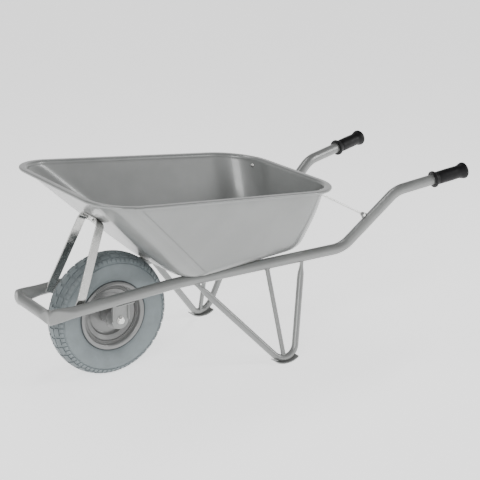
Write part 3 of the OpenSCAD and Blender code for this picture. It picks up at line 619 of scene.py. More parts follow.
def rubber(name, colour):
    """Matt blue-grey rubber with worn, dusty patches, fine mould grain, and painted shade over the tread and at
    the rim.
    """
    f = Finish(name, Specular_IOR_Level=0.35)
    patches = f.noise(12, 5, 0.65)
    tone = f.blend(f.ramp(patches, 0.3, 0.7), shades(colour, 0.88), shades(colour, 1.1))
    flat = f.vector("MULTIPLY", f.vector("SUBTRACT", f.place, AXLE), (1, 0, 1))
    radius = f.vector("LENGTH", flat, out="Value")

    def band(start, full, fade, stop):
        """Rises from one radius to the next and falls again over the other two."""
        return f.math("MULTIPLY", f.ramp(radius, start, full), f.ramp(radius, stop, fade))

    # painted shade: the tread darkened from its shoulders down to the groove floors, with the tops of the crown's
    # blocks spared
    groove = band(TYRE_R * 0.9, TYRE_R * 0.925, TYRE_R * 0.978, TYRE_R * 0.994)
    tone = f.blend(f.math("MULTIPLY", groove, 0.3), tone, shades(colour, 0.45))
    scuff = f.ramp(f.noise(60, 8, 0.75), 0.6, 0.72)
    tone = f.blend(f.math("MULTIPLY", scuff, 0.15), tone, shades(colour, 1.5))
    # painted shadow: a near-black ring on the tyre just above the rim's flange, where the two meet
    tone = f.blend(f.ramp(radius, RIM_R * 1.016, RIM_R * 1.006, 0.0, 0.8), tone, shades(colour, 0.15))
    f.link(tone, "Base Color")
    f.link(f.ramp(patches, 0.3, 0.7, 0.46, 0.62), "Roughness")
    fine = f.bump(f.noise(700, 3), 0.25, 0.0004)
    rings = f.math("SINE", f.math("MULTIPLY", radius, 1400.0))
    ring_zone = band(RIM_R * 1.02, RIM_R * 1.06, RIM_R * 1.12, RIM_R * 1.16)
    f.link(f.bump(f.math("MULTIPLY", rings, ring_zone), 0.3, 0.0006, fine), "Normal")
    return f.material


def grip_plastic(name, colour):
    """Black moulded grip with a fine leather-like grain and worn, shinier high spots."""
    f = Finish(name, Specular_IOR_Level=0.22)
    cells = f.add("ShaderNodeTexVoronoi", {"feature": "SMOOTH_F1"}, Vector=f.place, Scale=420, Smoothness=0.4)
    wear = f.noise(30, 4)
    f.link(f.blend(f.ramp(wear, 0.4, 0.7), colour, shades(colour, 1.6)), "Base Color")
    f.link(f.ramp(wear, 0.35, 0.65, 0.5, 0.36), "Roughness")
    f.link(f.bump(cells.outputs["Distance"], 0.35, 0.0006, f.bump(f.noise(40, 3), 0.2, 0.001)), "Normal")
    return f.material


def bright_metal(name, colour, rough, dull=0.28):
    """Zinc or ground steel with fine turning marks, dull bloom and a little tarnish."""
    f = Finish(name, Metallic=1.0)
    bloom = f.noise(90, 5, 0.6)
    f.link(f.blend(f.ramp(bloom, 0.35, 0.7), colour, shades(colour, 1 - dull)), "Base Color")
    f.link(f.ramp(f.noise(55, 4), 0.3, 0.7, rough - 0.06, rough + 0.1), "Roughness")
    f.link(f.bump(f.noise(900, 2), 0.15, 0.0003), "Normal")
    return f.material


def black_rubber(name):
    f = Finish(name, Specular_IOR_Level=0.4)
    f.link(f.blend(f.noise(40, 4), (0.012, 0.012, 0.012), (0.03, 0.03, 0.03)), "Base Color")
    f.link(f.ramp(f.noise(25, 3), 0.3, 0.7, 0.5, 0.7), "Roughness")
    f.link(f.bump(f.noise(500, 3), 0.2, 0.0004), "Normal")
    return f.material


def plain_floor(name, colour):
    """Seamless white paper that glows a little."""
    f = Finish(name, Specular_IOR_Level=0.1, Emission_Color=(1, 1, 1, 1), Emission_Strength=1.25)
    f.link(f.blend(f.noise(1.5, 3), shades(colour, 0.985), colour), "Base Color")
    f.link(f.ramp(f.noise(3, 3), 0.3, 0.7, 0.6, 0.7), "Roughness")
    return f.material


FINISHES = {}


def finish(name):
    """Makes each finish once, when it is first needed."""
    c = sizes().finish
    makers = {
        "frame": lambda: paint("silver_frame_paint", c.frame_grey, 0.31, 0.2, 0.12, 0.35),
        "tray": lambda: paint("silver_tray_paint", c.tray_grey, 0.34, 0.5, 0.8),
        "rim": lambda: paint("grey_rim_paint", c.rim_grey, 0.3, 0.3, 0.1, 0.25),
        "tyre": lambda: rubber("blue_grey_rubber", c.rubber),
        "grip": lambda: grip_plastic("black_grip", c.grip),
        "zinc": lambda: bright_metal("bright_zinc", c.zinc, 0.24),
        "strap": lambda: bright_metal("rolled_zinc_strap", shades(c.zinc, 0.7), 0.2, 0.08),
        "steel": lambda: bright_metal("ground_steel", shades(c.zinc, 0.8), 0.3),
        "black": lambda: black_rubber("black_rubber"),
        "floor": lambda: plain_floor("pale_floor", c.floor),
    }
    if name not in FINISHES:
        FINISHES[name] = makers[name]()
    return FINISHES[name]


# --- the frame tube and its grips ---


class BARROW_OT_frame_tube(bpy.types.Operator):
    """Models the bent frame tube with its two pressed front corners"""

    bl_idname = "barrow.frame_tube"
    bl_label = "Frame tube"

    def execute(self, context):
        s = sizes().frame
        bar_x = FRONT_X - s.tube / 2
        corner_y = s.rail_gap / 2 - 0.005
        corner_h = pressed_height(s.tube, s.corner_t)
        pressed_run = 0.011
        bar_flare, rail_flare = 0.038, 0.084
        bar_steps, rail_steps, bend_steps = 6, 8, 14
        spread_r, end_cover = 0.5, 0.007

        def pressed(point, f):
            return (point, lerp(s.tube, s.corner_t, f), lerp(s.tube, corner_h, f), UP, True)

        def plain(point):
            return (point, s.tube, s.tube, UP, False)

        stations = [plain(Vector((bar_x, y, s.front_h))) for y in (0, 0.025, 0.05)]
        for i in range(bar_steps + 1):
            d = lerp(bar_flare, pressed_run, i / bar_steps)
            stations.append(pressed(Vector((bar_x, corner_y - d, s.front_h)), smooth(i / bar_steps)))
        stations.append(pressed(Vector((bar_x, corner_y, s.front_h)), 1))
        for i in range(rail_steps + 1):
            f = smooth(1 - i / rail_steps)
            x = bar_x - lerp(pressed_run, rail_flare, i / rail_steps)
            stations.append(pressed(Vector((x, lerp(s.rail_gap / 2, corner_y, f), rail_z(x))), f))
        heel, knee, end = handle_points()
        spread = rail_point(AXLE.x - s.spread_back)
        points = arc(rail_point(bar_x - rail_flare), spread, heel, spread_r, 8)
        points += arc(spread, heel, knee, s.bend_r, bend_steps)
        points += arc(heel, knee, end, s.bend_r, bend_steps)
        points.append(end - (end - knee).normalized() * end_cover)
        stations += [plain(p) for p in points]
        half = tube("frame_tube_bent", stations, 48, caps=False, angle=50)
        bpy.ops.object.mode_set(mode="EDIT")
        cap_back_end()
        bpy.ops.object.mode_set(mode="OBJECT")
        finish_with(half, "MIRROR", use_axis=(False, True, False), use_clip=True, merge_threshold=1e-5)
        shade(half, 50)
        dress(half, finish("frame"), "frame", "frame_paint", "frame_tube")
        return {"FINISHED"}

class BARROW_OT_grips(bpy.types.Operator):
    """Models the two flared black grips"""

    bl_idname = "barrow.grips"
    bl_label = "Grips"

    def execute(self, context):
        s = sizes().frame
        _, knee, end = handle_points()
        inwards = (knee - end).normalized()
        across = inwards.cross(UP).normalized()
        body, collar, length = s.grip_d / 2, s.collar_d / 2, s.grip_l
        bore, pin = s.tube / 2 + CLEAR, 0.0001
        dome_l, dome_r, neck_l = 0.009, 0.008, 0.024
        groove, flare, flare_l = length - 0.022, length - 0.019, 0.0105
        profile = [(0.0, pin), (0.0, 0.006), (0.0003, 0.012), (0.0, collar * 0.6)]
        profile += [(dome_l - dome_l * math.cos(a), collar - dome_r + dome_r * math.sin(a))
                    for a in turns(10, 90, 10)]
        profile += [(dome_l + neck_l * i / 8, lerp(collar, body, smooth(i / 8))) for i in range(1, 9)]
        profile += [(lerp(dome_l + neck_l, groove, i / 6), body + 0.0006 * math.sin(math.pi * i / 6))
                    for i in range(1, 6)]
        profile += [(groove, body), (length - 0.0205, body - 0.0008), (flare, body)]
        profile += [(flare + flare_l * math.sin(a), lerp(body, collar - 0.0005, 1 - math.cos(a)))
                    for a in turns(15, 90, 15)]
        profile += [(length - 0.0075, collar), (length - 0.002, collar), (length - 0.0006, collar - 0.0006),
                    (length, collar - 0.002), (length, bore + 0.0015), (length - 0.001, bore), (0.0075, bore),
                    (0.0068, pin)]
        left = spun("left_grip_moulded", profile, end, inwards, across, 72, 50, closed=True)
        dress_both(left, finish("grip"), "frame", "grip_black", "grip")
        return {"FINISHED"}


# --- the tray ---


def rim_slope():
    t = sizes().tray
    return (t.rim_front_h - t.rim_back_h) / (TRAY_FRONT_X - TRAY_BACK_X)


def rim_level(out, up):
    """The tray's outline near the rim: front, back, widths, corner radii, height at x = 0 and slope."""
    t = sizes().tray
    front_r, back_r = 0.135, 0.158
    g = t.rim_w - out
    return (TRAY_FRONT_X - g, TRAY_BACK_X + g, t.front_w - 2 * g, t.back_w - 2 * g, front_r - g, back_r - g,
            t.rim_back_h - rim_slope() * TRAY_BACK_X + up, rim_slope())


def floor_level(inset, up):
    """The tray's outline near the floor, as for the rim."""
    s, t = sizes().frame, sizes().tray
    front_r, back_r, taper = 0.088, 0.100, 0.008
    front = AXLE.x - t.floor_back
    rise = math.tan(s.rise)
    return (front - inset, front - t.floor_l + inset, t.floor_w - 2 * inset, t.floor_w - taper - 2 * inset,
            front_r - inset, back_r - inset,
            s.front_h + rise * (FRONT_X - s.tube / 2) + (rail_half() + CLEAR) + up, -rise)


def corner_points(level):
    """The outline's points, corner by corner, with a few between each two corners."""
    front, back, front_w, back_w, front_r, back_r, base, slope = level
    places = ((front, front_w / 2), (front, -front_w / 2), (back, -back_w / 2), (back, back_w / 2))
    corners = [Vector((x, y, 0)) for x, y in places]
    radii = (front_r, front_r, back_r, back_r)
    steps = sizes().tray.corner_steps
    bends = [arc(corners[i - 1], corners[i], corners[(i + 1) % 4], radii[i], steps) for i in range(4)]
    points = []
    for i, bend in enumerate(bends):
        points += bend
        points += [lerp(bend[-1], bends[(i + 1) % 4][0], k) for k in (0.05, 0.2, 0.5, 0.8, 0.95)]
    return [Vector((p.x, p.y, base + slope * p.x)) for p in points]


def tray_rings():
    """Mid-sheet outlines from the rolled edge, over the rim, down the wall and round to the floor."""
    t = sizes().tray
    half, roll = t.sheet / 2, t.roll / 2
    bend, floor_fillet = 0.009, 0.030
    bend_down = 0.010
    flat_w = t.rim_w - roll
    section = [(flat_w + (roll - half) * math.cos(a), -roll + (roll - half) * math.sin(a))
               for a in turns(-210, 90, 20)]
    section += [(flat_w - k * (flat_w - bend) / 3, -half) for k in (1, 2)]
    section += [(bend + bend * math.cos(a), -half - bend_down + bend_down * math.sin(a))
                for a in turns(90, 180, 15)]
    rings = [corner_points(rim_level(out, up)) for out, up in section]
    top = corner_points(rim_level(0.0, -TRAY_LIP))
    low = corner_points(floor_level(0.0, half))
    flat = corner_points(floor_level(floor_fillet, half))
    hips = [b + (a - b).normalized() * TRAY_FILLET for a, b in zip(top, low)]
    outward = [Vector((b.x - c.x, b.y - c.y, 0)).normalized() for b, c in zip(low, flat)]
    for k in [i / 10 for i in range(10)]:
        rings.append([lerp(a, hip, k) + away * TRAY_BULGE * math.sin(math.pi * k)
                      for a, hip, away in zip(top, hips, outward)])
    for k in [i / 9 for i in range(10)]:
        rings.append([hip * (1 - k) ** 2 + b * 2 * k * (1 - k) + c * k * k
                      for hip, b, c in zip(hips, low, flat)])
    middle = sum(flat, Vector()) / len(flat)
    rings.append([lerp(p, middle, 0.15) for p in flat])
    return rings


class BARROW_OT_tray(bpy.types.Operator):
    """Models the deep pressed tray with its flanged rim and rolled edge"""

    bl_idname = "barrow.tray"
    bl_label = "Tray"

    def execute(self, context):
        piece = start_mesh("tray_pressed")
        bpy.ops.mesh.select_mode(type="VERT")
        rings = tray_rings()
        bpy.ops.mesh.primitive_circle_add(vertices=len(rings[0]), radius=0.3, location=(0, 0, 0.4))
        order = {k: k for k in range(len(rings[0]))}
        for i, ring in enumerate(rings):
            if i:
                bpy.ops.mesh.extrude_edges_move()
            mesh = bmesh.from_edit_mesh(piece.data)
            mesh.verts.index_update()
            fresh = [v for v in mesh.verts if v.select]
            if i:
                order = {v.index: order[next(e.other_vert(v).index for e in v.link_edges
                                             if not e.other_vert(v).select)] for v in fresh}
            for v in fresh:
                v.co = ring[order[v.index]]
            update_mesh()
        bpy.ops.mesh.edge_face_add()
        bpy.ops.mesh.select_all(action="SELECT")
        bpy.ops.mesh.normals_make_consistent(inside=False)
        bpy.ops.object.mode_set(mode="OBJECT")
        finish_with(piece, "SOLIDIFY", thickness=sizes().tray.sheet, offset=0.0)
        finish_with(piece, "SUBSURF", levels=1, render_levels=1)
        bpy.ops.object.mode_set(mode="EDIT")
        finish_mesh(piece, 60)
        dress(piece, finish("tray"), "frame", "tray_paint", "tray")
        return {"FINISHED"}


# --- the strap, legs and brackets ---


def wall_point(z):
    """A point on the tray's front wall, its direction up the wall, and its outward normal."""
    t = sizes().tray
    top_x = TRAY_FRONT_X - t.rim_w
    top = Vector((top_x, 0, t.rim_back_h + rim_slope() * (top_x - TRAY_BACK_X) - TRAY_LIP))
    low_x = AXLE.x - t.floor_back
    low = Vector((low_x, 0, rail_z(low_x) + rail_half() + CLEAR))
    along = (top - low).normalized()
    out = Vector((along.z, 0, -along.x))
    start = low + along * TRAY_FILLET
    proud = (t.sheet / 2 + TRAY_BULGE * math.sin(math.pi * (top.z - z) / (top.z - start.z))) * out.x
    return low + along * ((z - low.z) / along.z) + out * (proud + CLEAR), along, out


class BARROW_OT_strap(bpy.types.Operator):
    """Models the flat strap that holds up the front of the tray"""

    bl_idname = "barrow.strap"
    bl_label = "Front strap"

    def execute(self, context):
        s = sizes().frame
        width, thick, top_w, top_z = 0.028, 0.005, 0.112, 0.524
        foot_ahead, foot_down, knee_back, knee_up = 0.152, 0.008, 0.014, 0.004
        knee_r, shoulder_r = 0.03, 0.024
        face, along, out = wall_point(top_z)
        top = face + out * thick / 2
        foot_x, foot_y = AXLE.x + foot_ahead, s.rail_gap / 2 - s.tube / 2 - CLEAR - thick / 2
        foot = Vector((foot_x, foot_y, rail_z(foot_x) - foot_down))
        knee = Vector((foot_x - knee_back, foot_y, rail_z(foot_x) + s.tube / 2 + knee_up))
        shoulder = Vector((top.x, top_w / 2, top.z))
        lean = Vector((knee.x - shoulder.x, 0, knee.z - shoulder.z)).normalized()
        across = Vector((-lean.z, 0, lean.x))
        half = [(foot, across)] + [(p, across) for p in arc(foot, knee, shoulder, knee_r, 6)]
        bend = arc(knee, shoulder, flip(shoulder), shoulder_r, 12)
        bend = arc(knee, shoulder, flip(shoulder), 0.024, 12)
        half += [(p, across.lerp(along, smooth(i / 12)).normalized()) for i, p in enumerate(bend)]
        path = half + [(flip(p), a) for p, a in reversed(half)]
        piece = start_mesh("front_strap_bent")
        starts = []
        for i, (p, a) in enumerate(path):
            d = (path[min(len(path) - 1, i + 1)][0] - path[max(0, i - 1)][0]).normalized()
            a = (a - d * a.dot(d)).normalized()
            starts.append(count_verts())
            bpy.ops.mesh.select_all(action="DESELECT")
            turn = Matrix((a, d.cross(a), d)).transposed()
            bpy.ops.mesh.primitive_plane_add(size=width, location=p, rotation=turn.to_euler())
            stretch((1, thick / width, 1), turn, p)
            bpy.ops.mesh.delete(type="ONLY_FACE")
        end = count_verts()
        bridge_rings(starts, end)
        cap_ring(starts[0], starts[1])
        cap_ring(starts[-1], end)
        finish_mesh(piece, 30)
        bevel_edges(piece, 0.0011, 3, 50)
        shade(piece, 35)
        dress(piece, finish("strap"), "frame", "zinc", "front_strap")
        return {"FINISHED"}


def leg_lines():
    """The left leg's two tops, its foot's arc as a function, its normal, its foot and its brace's top."""
    g = sizes().leg
    ground_gap, brace_ahead = 0.0034, 0.011
    front_x = AXLE.x - g.front_back
    tops = [rail_point(x) - UP * rail_half() for x in (front_x, front_x - g.spread)]
    foot = Vector((AXLE.x - g.foot_back, g.foot_gap / 2, ground_gap + g.tube / 2))
    normal = (tops[1] - foot).cross(tops[0] - foot).normalized()
    level = normal.cross(UP).normalized()
    uphill = level.cross(normal)
    centre = foot + uphill * g.bend_r

    def angle(p, turn):
        v = p - centre
        return math.atan2(v.dot(uphill), v.dot(level)) + turn * math.acos(g.bend_r / v.length)

    start, stop = angle(tops[0], -1), angle(tops[1], 1) - math.tau

    def point(t):
        a = lerp(start, stop, t)
        return centre + (level * math.cos(a) + uphill * math.sin(a)) * g.bend_r

    return tops, point, normal, foot, rail_point(AXLE.x - g.foot_back + brace_ahead)


def saddle(centre, direction, side, up, half_w, half_h, extra):
    """Where a round or pressed bar meets the left rail's underside, as a closed line of points."""
    steps, reach = 36, 0.05
    a, b = rail_point(centre.x + reach), rail_point(centre.x - reach)
    axis = (b - a).normalized()
    radius = sizes().frame.tube / 2 + extra
    d = direction - axis * direction.dot(axis)
    points = []
    for i in range(steps):
        angle = math.tau * i / steps
        p = centre + side * math.cos(angle) * half_w + up * math.sin(angle) * half_h
        q = p - a
        q = q - axis * q.dot(axis)
        square, slope, rest = d.dot(d), 2 * q.dot(d), q.dot(q) - radius * radius
        root = math.sqrt(max(0.0, slope * slope - 4 * square * rest))
        points.append(p + direction * (-slope - root) / (2 * square))
    return points


def bead(name, points, size):
    """A rippled weld bead along a closed line of points."""
    piece = start_mesh(name)
    starts = []
    for i, p in enumerate(points):
        along = points[(i + 1) % len(points)] - points[i - 1]
        fat = size * (1 + 0.16 * math.sin(i * 2.1))
        lean = UP if abs(along.normalized().dot(UP)) < 0.9 else Vector((1, 0, 0))
        starts.append(add_ring(p, along, lean, fat, fat, 8))
    bridge_rings(starts, count_verts(), closed=True)
    return finish_mesh(piece, 60, 1e-6)


def pressed_axis(direction):
    """The broad way of a limb's pressed top: outwards, and a third of a right angle to the front."""
    broad = Vector((0.5, 0.866, 0))
    return (broad - direction * broad.dot(direction)).normalized()


class BARROW_OT_legs(bpy.types.Operator):
    """Models the V legs, their braces and their skids"""

    bl_idname = "barrow.legs"
    bl_label = "Legs"

    def execute(self, context):
        g = sizes().leg
        tops, arc_point, normal, foot, brace_top = leg_lines()
        wide = pressed_height(g.tube, LIMB_T)
        press = ((-0.010, 1), (0.003, 1), (0.009, 0.97), (0.015, 0.87), (0.021, 0.7), (0.027, 0.5),
                 (0.034, 0.28), (0.041, 0.12), (0.048, 0.03), (0.056, 0))

        def limb(top, toward):
            """Stations down from a limb's top, each as far from it and as flat as the press left it."""
            d = (toward - top).normalized()
            return [(top + d * far, lerp(g.tube, LIMB_T, flat), lerp(g.tube, wide, flat),
                     normal.lerp(pressed_axis(d), min(1, flat * 2)), True) for far, flat in press]

        stations = limb(tops[0], arc_point(0))
        stations += [(arc_point(i / 22), g.tube, g.tube, normal, False) for i in range(23)]
        stations += list(reversed(limb(tops[1], arc_point(1))))
        left = tube("left_leg_bent", stations, 32, angle=60)
        down = (foot - brace_top).normalized()
        ends = brace_top + down * 0.012, foot - down * g.tube * 0.36
        brace = tube("left_leg_brace_tube", [(p, g.brace, g.brace, UP, False) for p in ends], 32)
        skid = softened_copy("left_skid", "left_skid_plate", 0.0009)
        for piece, node in ((left, "leg"), (brace, "leg_brace"), (skid, "skid")):
            dress_both(piece, finish("frame"), "frame", "frame_paint", node, fresh=True)
        return {"FINISHED"}


class BARROW_OT_brackets(bpy.types.Operator):
    """Softens the edges of the axle brackets and the stay rods' tabs"""

    bl_idname = "barrow.brackets"
    bl_label = "Brackets and tabs"

    def execute(self, context):
        for side in ("left", "right"):
            for kind, width in (("axle_bracket", 0.0009), ("stay_tab", 0.0006)):
                node = f"{side}_{kind}"
                piece = softened_copy(node, node + "_pressed", width)
                dress(piece, finish("frame"), "frame", "frame_paint", node)
        return {"FINISHED"}


# --- the wheel ---


def spow(v, e):
    return math.copysign(abs(v) ** e, v)


def tyre_section(half_w, half_h, centre, start, stop, steps):
    """Radius and width of the tyre's outline from one angle to another, in degrees."""
    out = []
    for i in range(steps + 1):
        a = math.radians(lerp(start, stop, i / steps))
        out.append((half_w * spow(math.cos(a), 0.87), centre + half_h * spow(math.sin(a), 0.87)))
    return out


class BARROW_OT_tyre(bpy.types.Operator):
    """Models the tyre: smooth side walls and a block tread, one pitch at a time"""

    bl_idname = "barrow.tyre"
    bl_label = "Tyre"

    pitches = 36
    cells = 8
    depth = 0.0028
    # blocks of one pitch: their two edges across the tread, then their first and last cell round the tyre
    blocks = ((0.02, 0.17, 0, 3), (0.02, 0.17, 4, 7), (0.20, 0.33, 1, 7), (0.36, 0.49, 0, 6),
              (0.51, 0.64, 2, 8), (0.67, 0.80, 1, 7), (0.83, 0.98, 1, 4), (0.83, 0.98, 5, 8))

    def execute(self, context):
        half_h = (TYRE_R - BEAD_R) / 2
        centre_r = BEAD_R + half_h
        lip = RIM_HALF - 0.0028
        side = tyre_section(TYRE_HALF, half_h, centre_r, -34, 22, 14)
        tread = tyre_section(TYRE_HALF - self.depth * 0.9, half_h - self.depth, centre_r, 26, 154, 32)
        foot = [(lip - 0.011, BEAD_R + 0.0006), (lip - 0.004, BEAD_R + 0.0006), (lip, BEAD_R + 0.0045),
                (lip, RIM_R + 0.0006), (lip + 0.0018, RIM_R + 0.0018)]
        near = foot + side
        profile = near + tread + [(-y, r) for y, r in reversed(near)]
        piece = start_mesh("tyre_treaded")
        bpy.ops.mesh.select_mode(type="VERT")
        pitch = math.tau / self.pitches
        draw_line([AXLE + Vector((0, y, r)) for y, r in profile])
        bpy.ops.mesh.select_all(action="SELECT")
        bpy.ops.mesh.spin(steps=self.cells, angle=pitch, center=AXLE, axis=(0, 1, 0))
        for start, stop, low, high in self.blocks:
            edges = [profile[len(near) + round(share * (len(tread) - 1))][0] for share in (start, stop)]
            self.raise_block(piece, pitch, edges, low, high)
        bpy.ops.mesh.select_all(action="SELECT")
        copies = self.pitches - 1
        bpy.ops.mesh.spin(steps=copies, angle=pitch * copies, center=AXLE, axis=(0, 1, 0), dupli=True)
        finish_mesh(piece, 35, 5e-5)
        dress(piece, finish("tyre"), "wheel", "tyre_grey", "tyre")
        return {"FINISHED"}

    def raise_block(self, piece, pitch, edges, low, high):
        """Raises one block between two edges across the tread and two cells round it."""
        bpy.ops.mesh.select_mode(type="FACE")
        bpy.ops.mesh.select_all(action="DESELECT")
        mesh = bmesh.from_edit_mesh(piece.data)
        for face in mesh.faces:
            c = face.calc_center_median() - AXLE
            cell = abs(math.atan2(c.x, c.z)) / pitch * self.cells
            inside = edges[1] < c.y < edges[0] and c.xz.length > TYRE_R * 0.82
            if inside and low < cell < high and not face.tag:
                face.select = True
        update_mesh()
        picked = [face for face in mesh.faces if face.select]
        if not picked:
            raise RuntimeError(f"no tread faces between {edges} and cells {low} to {high}")
        bpy.ops.mesh.extrude_region_move()
        bpy.ops.transform.shrink_fatten(value=-self.depth if self.points_in(piece) else self.depth)
        bpy.ops.mesh.inset(thickness=0.0006, depth=0)
        for face in bmesh.from_edit_mesh(piece.data).faces:
            if face.select:
                face.tag = True

    def points_in(self, piece):
        """True where the selected faces look towards the axle."""
        mesh = bmesh.from_edit_mesh(piece.data)
        return sum((f.calc_center_median() - AXLE).dot(f.normal) for f in mesh.faces if f.select) < 0


class BARROW_OT_rim(bpy.types.Operator):
    """Models the two pressed rim halves"""

    bl_idname = "barrow.rim"
    bl_label = "Rim"

    def execute(self, context):
        sheet, dish_bend, seat_bend, step_bend = 0.0025, 0.010, 0.006, 0.005
        flange_y, flange_r = RIM_HALF - sheet / 2, BEAD_R - 0.00125
        disc_y, disc_r, step_r = sheet / 2 + 0.0001, BEAD_R - 0.025, BEAD_R - 0.012
        flat_r = disc_r - 0.014
        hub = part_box("hub_tube")[1].z - AXLE.z
        line = [(disc_y, hub + CLEAR), (disc_y, (hub + flat_r) / 2), (disc_y, flat_r)]
        line += [(disc_y + dish_bend * (1 - math.cos(a)), flat_r + dish_bend * math.sin(a))
                 for a in turns(15, 90, 15)]
        line += [(disc_y + 0.015, disc_r - 0.003)]
        line += [(disc_y + 0.023 - step_bend * math.sin(a), step_r - step_bend * math.cos(a))
                 for a in turns(30, 90, 15)]
        line += [(disc_y + 0.024, step_r + 0.001)]
        line += [(disc_y + 0.020 + seat_bend * (1 - math.cos(a)), BEAD_R - 0.007 + seat_bend * math.sin(a))
                 for a in turns(30, 90, 15)]
        line += [(flange_y - step_bend, flange_r)]
        line += [(flange_y - step_bend + step_bend * math.sin(a), flange_r + step_bend * (1 - math.cos(a)))
                 for a in turns(15, 90, 15)]
        line += [(flange_y, RIM_R - 0.003)]
        left = spun("left_rim_half_pressed", line, AXLE, Vector((0, 1, 0)), UP, 128, 50)
        finish_with(left, "SOLIDIFY", thickness=sheet, offset=0.0)
        bevel_edges(left, 0.0008, 2, 50)
        shade(left, 40)
        dress_both(left, finish("rim"), "wheel", "rim_paint", "rim_half")
        return {"FINISHED"}


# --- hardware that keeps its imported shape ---


class BARROW_OT_hardware(bpy.types.Operator):
    """Gives bolts, nuts, bearings, the valve and the stay rods their finishes"""

    bl_idname = "barrow.hardware"
    bl_label = "Hardware"

    def execute(self, context):
        slots = {item["node"]: item["material_slot"] for item in frame["record"]["subparts"]}
        kinds = {"frame_paint": "frame", "tray_paint": "tray", "rim_paint": "rim", "grip_black": "grip",
                 "tyre_grey": "tyre", "tube_rubber": "black", "zinc": "zinc", "bearing_steel": "steel"}
        for node, packed in frame["nodes"].items():
            packed.data.materials.clear()
            packed.data.materials.append(finish(kinds[slots[node]]))
        return {"FINISHED"}


class BARROW_OT_welds(bpy.types.Operator):
    """Lays painted weld beads where the frame's pieces join"""

    bl_idname = "barrow.welds"
    bl_label = "Welds"

    def execute(self, context):
        g = sizes().leg
        tops, arc_point, normal, foot, brace_top = leg_lines()
        wide = pressed_height(g.tube, LIMB_T)
        beads = []
        for i, label in enumerate(("front", "rear")):
            d = (tops[i] - arc_point(i)).normalized()
            broad = pressed_axis(d)
            line = saddle(tops[i] - d * 0.03, d, broad.cross(d), broad, LIMB_T / 2, wide / 2, 0.0005)
            beads.append(bead(f"left_{label}_limb_weld", line, 0.0038))
        d = (brace_top - foot).normalized()
        side = normal.cross(d).normalized()
        line = saddle(brace_top - d * 0.06, d, side, side.cross(d), g.brace / 2, g.brace / 2, 0.0004)
        beads.append(bead("left_brace_weld", line, 0.0034))
        for left in beads:
            for weld in (left, mirrored_copy(left, left.name.replace("left", "right"))):
                dress(weld, finish("frame"), "frame", "frame_paint")
        return {"FINISHED"}


# --- floor, light and camera ---


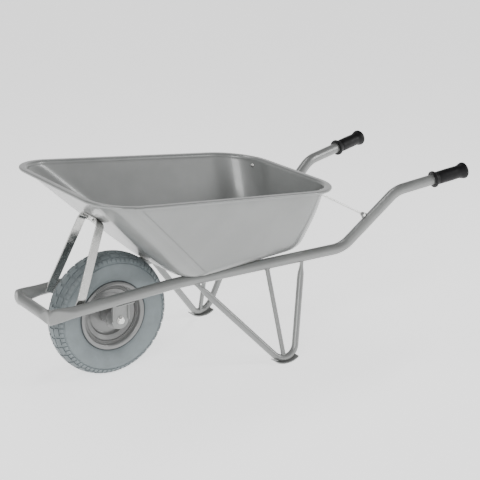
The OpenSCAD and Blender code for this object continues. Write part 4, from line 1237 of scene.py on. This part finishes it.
class BARROW_OT_stage(bpy.types.Operator):
    """Sets the pale floor, the soft light and the camera"""

    bl_idname = "barrow.stage"
    bl_label = "Stage"

    camera_place = Vector((2.358, 3.517, 1.731))
    camera_turn = (18.06, 145.94)
    camera_lens = 100.96
    floor_size = 24

    def light(self, name, place, target, size, power):
        bpy.ops.object.light_add(type="AREA", location=place)
        lamp = bpy.context.object
        lamp.name = name
        lamp.data.shape = "RECTANGLE"
        lamp.data.size, lamp.data.size_y = size
        lamp.data.energy = power
        lamp.rotation_euler = (Vector(target) - Vector(place)).to_track_quat("-Z", "Y").to_euler()

    def execute(self, context):
        piece = start_mesh("studio_floor")
        bpy.ops.mesh.primitive_plane_add(size=self.floor_size, location=(0, 0, 0))
        bpy.ops.mesh.subdivide(number_cuts=3)
        bpy.ops.object.mode_set(mode="OBJECT")
        piece.data.materials.append(finish("floor"))
        world = context.scene.world or bpy.data.worlds.new("studio")
        context.scene.world = world
        world.use_nodes = True
        nodes, links = world.node_tree.nodes, world.node_tree.links
        height = nodes.new("ShaderNodeSeparateXYZ")
        links.new(nodes.new("ShaderNodeTexCoord").outputs["Generated"], height.inputs[0])
        fade = nodes.new("ShaderNodeMapRange")
        fade.interpolation_type = "SMOOTHSTEP"
        for key, value in (("From Min", 0.1), ("From Max", 0.8), ("To Min", 1.1), ("To Max", 0.1)):
            fade.inputs[key].default_value = value
        links.new(height.outputs["Z"], fade.inputs["Value"])
        links.new(fade.outputs["Result"], nodes["Background"].inputs["Color"])
        nodes["Background"].inputs["Strength"].default_value = 1.0
        self.light("key_softbox", (3.6, 3.6, 2.6), (0, 0, 0.3), (2.2, 2.2), 120)
        self.light("rear_softbox", (-3.2, 2.4, 2.4), (0, 0, 0.4), (1.0, 2.4), 70)
        self.light("top_strip", (0.6, -0.8, 3.2), (0.2, 0, 0.3), (2.6, 0.5), 30)
        elevation, azimuth = (math.radians(v) for v in self.camera_turn)
        bpy.ops.object.camera_add(location=self.camera_place)
        camera = context.object
        camera.name = "catalogue_camera"
        look = -Vector((math.sin(azimuth) * math.cos(elevation), -math.cos(azimuth) * math.cos(elevation),
                        math.sin(elevation)))
        camera.rotation_euler = look.to_track_quat("-Z", "Y").to_euler()
        camera.data.sensor_width = 36
        camera.data.lens = self.camera_lens
        camera.data.clip_end = 60
        context.scene.camera = camera
        return {"FINISHED"}


class BARROW_PT_panel(bpy.types.Panel):
    """Lists the pieces of the wheelbarrow"""

    bl_label = "Wheelbarrow"
    bl_idname = "BARROW_PT_panel"
    bl_space_type = "VIEW_3D"
    bl_region_type = "UI"
    bl_category = "Wheelbarrow"

    def draw(self, context):
        for group in ("frame", "tray", "leg", "finish"):
            box = self.layout.box()
            settings = getattr(context.scene.wheelbarrow, group)
            box.label(text=group.title())
            for key in settings.__annotations__:
                box.prop(settings, key)
        for operator in OPERATORS:
            self.layout.operator(operator.bl_idname, text=operator.bl_label)


GROUPS = (FrameSizes, TraySizes, LegSizes, Finishes, Wheelbarrow)
OPERATORS = (BARROW_OT_hardware, BARROW_OT_frame_tube, BARROW_OT_grips, BARROW_OT_tray, BARROW_OT_strap,
             BARROW_OT_legs, BARROW_OT_brackets, BARROW_OT_tyre, BARROW_OT_rim, BARROW_OT_welds,
             BARROW_OT_stage)


def register():
    for item in GROUPS + OPERATORS + (BARROW_PT_panel,):
        bpy.utils.register_class(item)
    bpy.types.Scene.wheelbarrow = PointerProperty(type=Wheelbarrow)


def unregister():
    del bpy.types.Scene.wheelbarrow
    for item in reversed(GROUPS + OPERATORS + (BARROW_PT_panel,)):
        bpy.utils.unregister_class(item)


def main():
    register()
    for operator in OPERATORS:
        group, name = operator.bl_idname.split(".")
        if getattr(getattr(bpy.ops, group), name)() != {"FINISHED"}:
            raise RuntimeError(operator.bl_label + " was not finished")


if __name__ == "__main__":
    main()
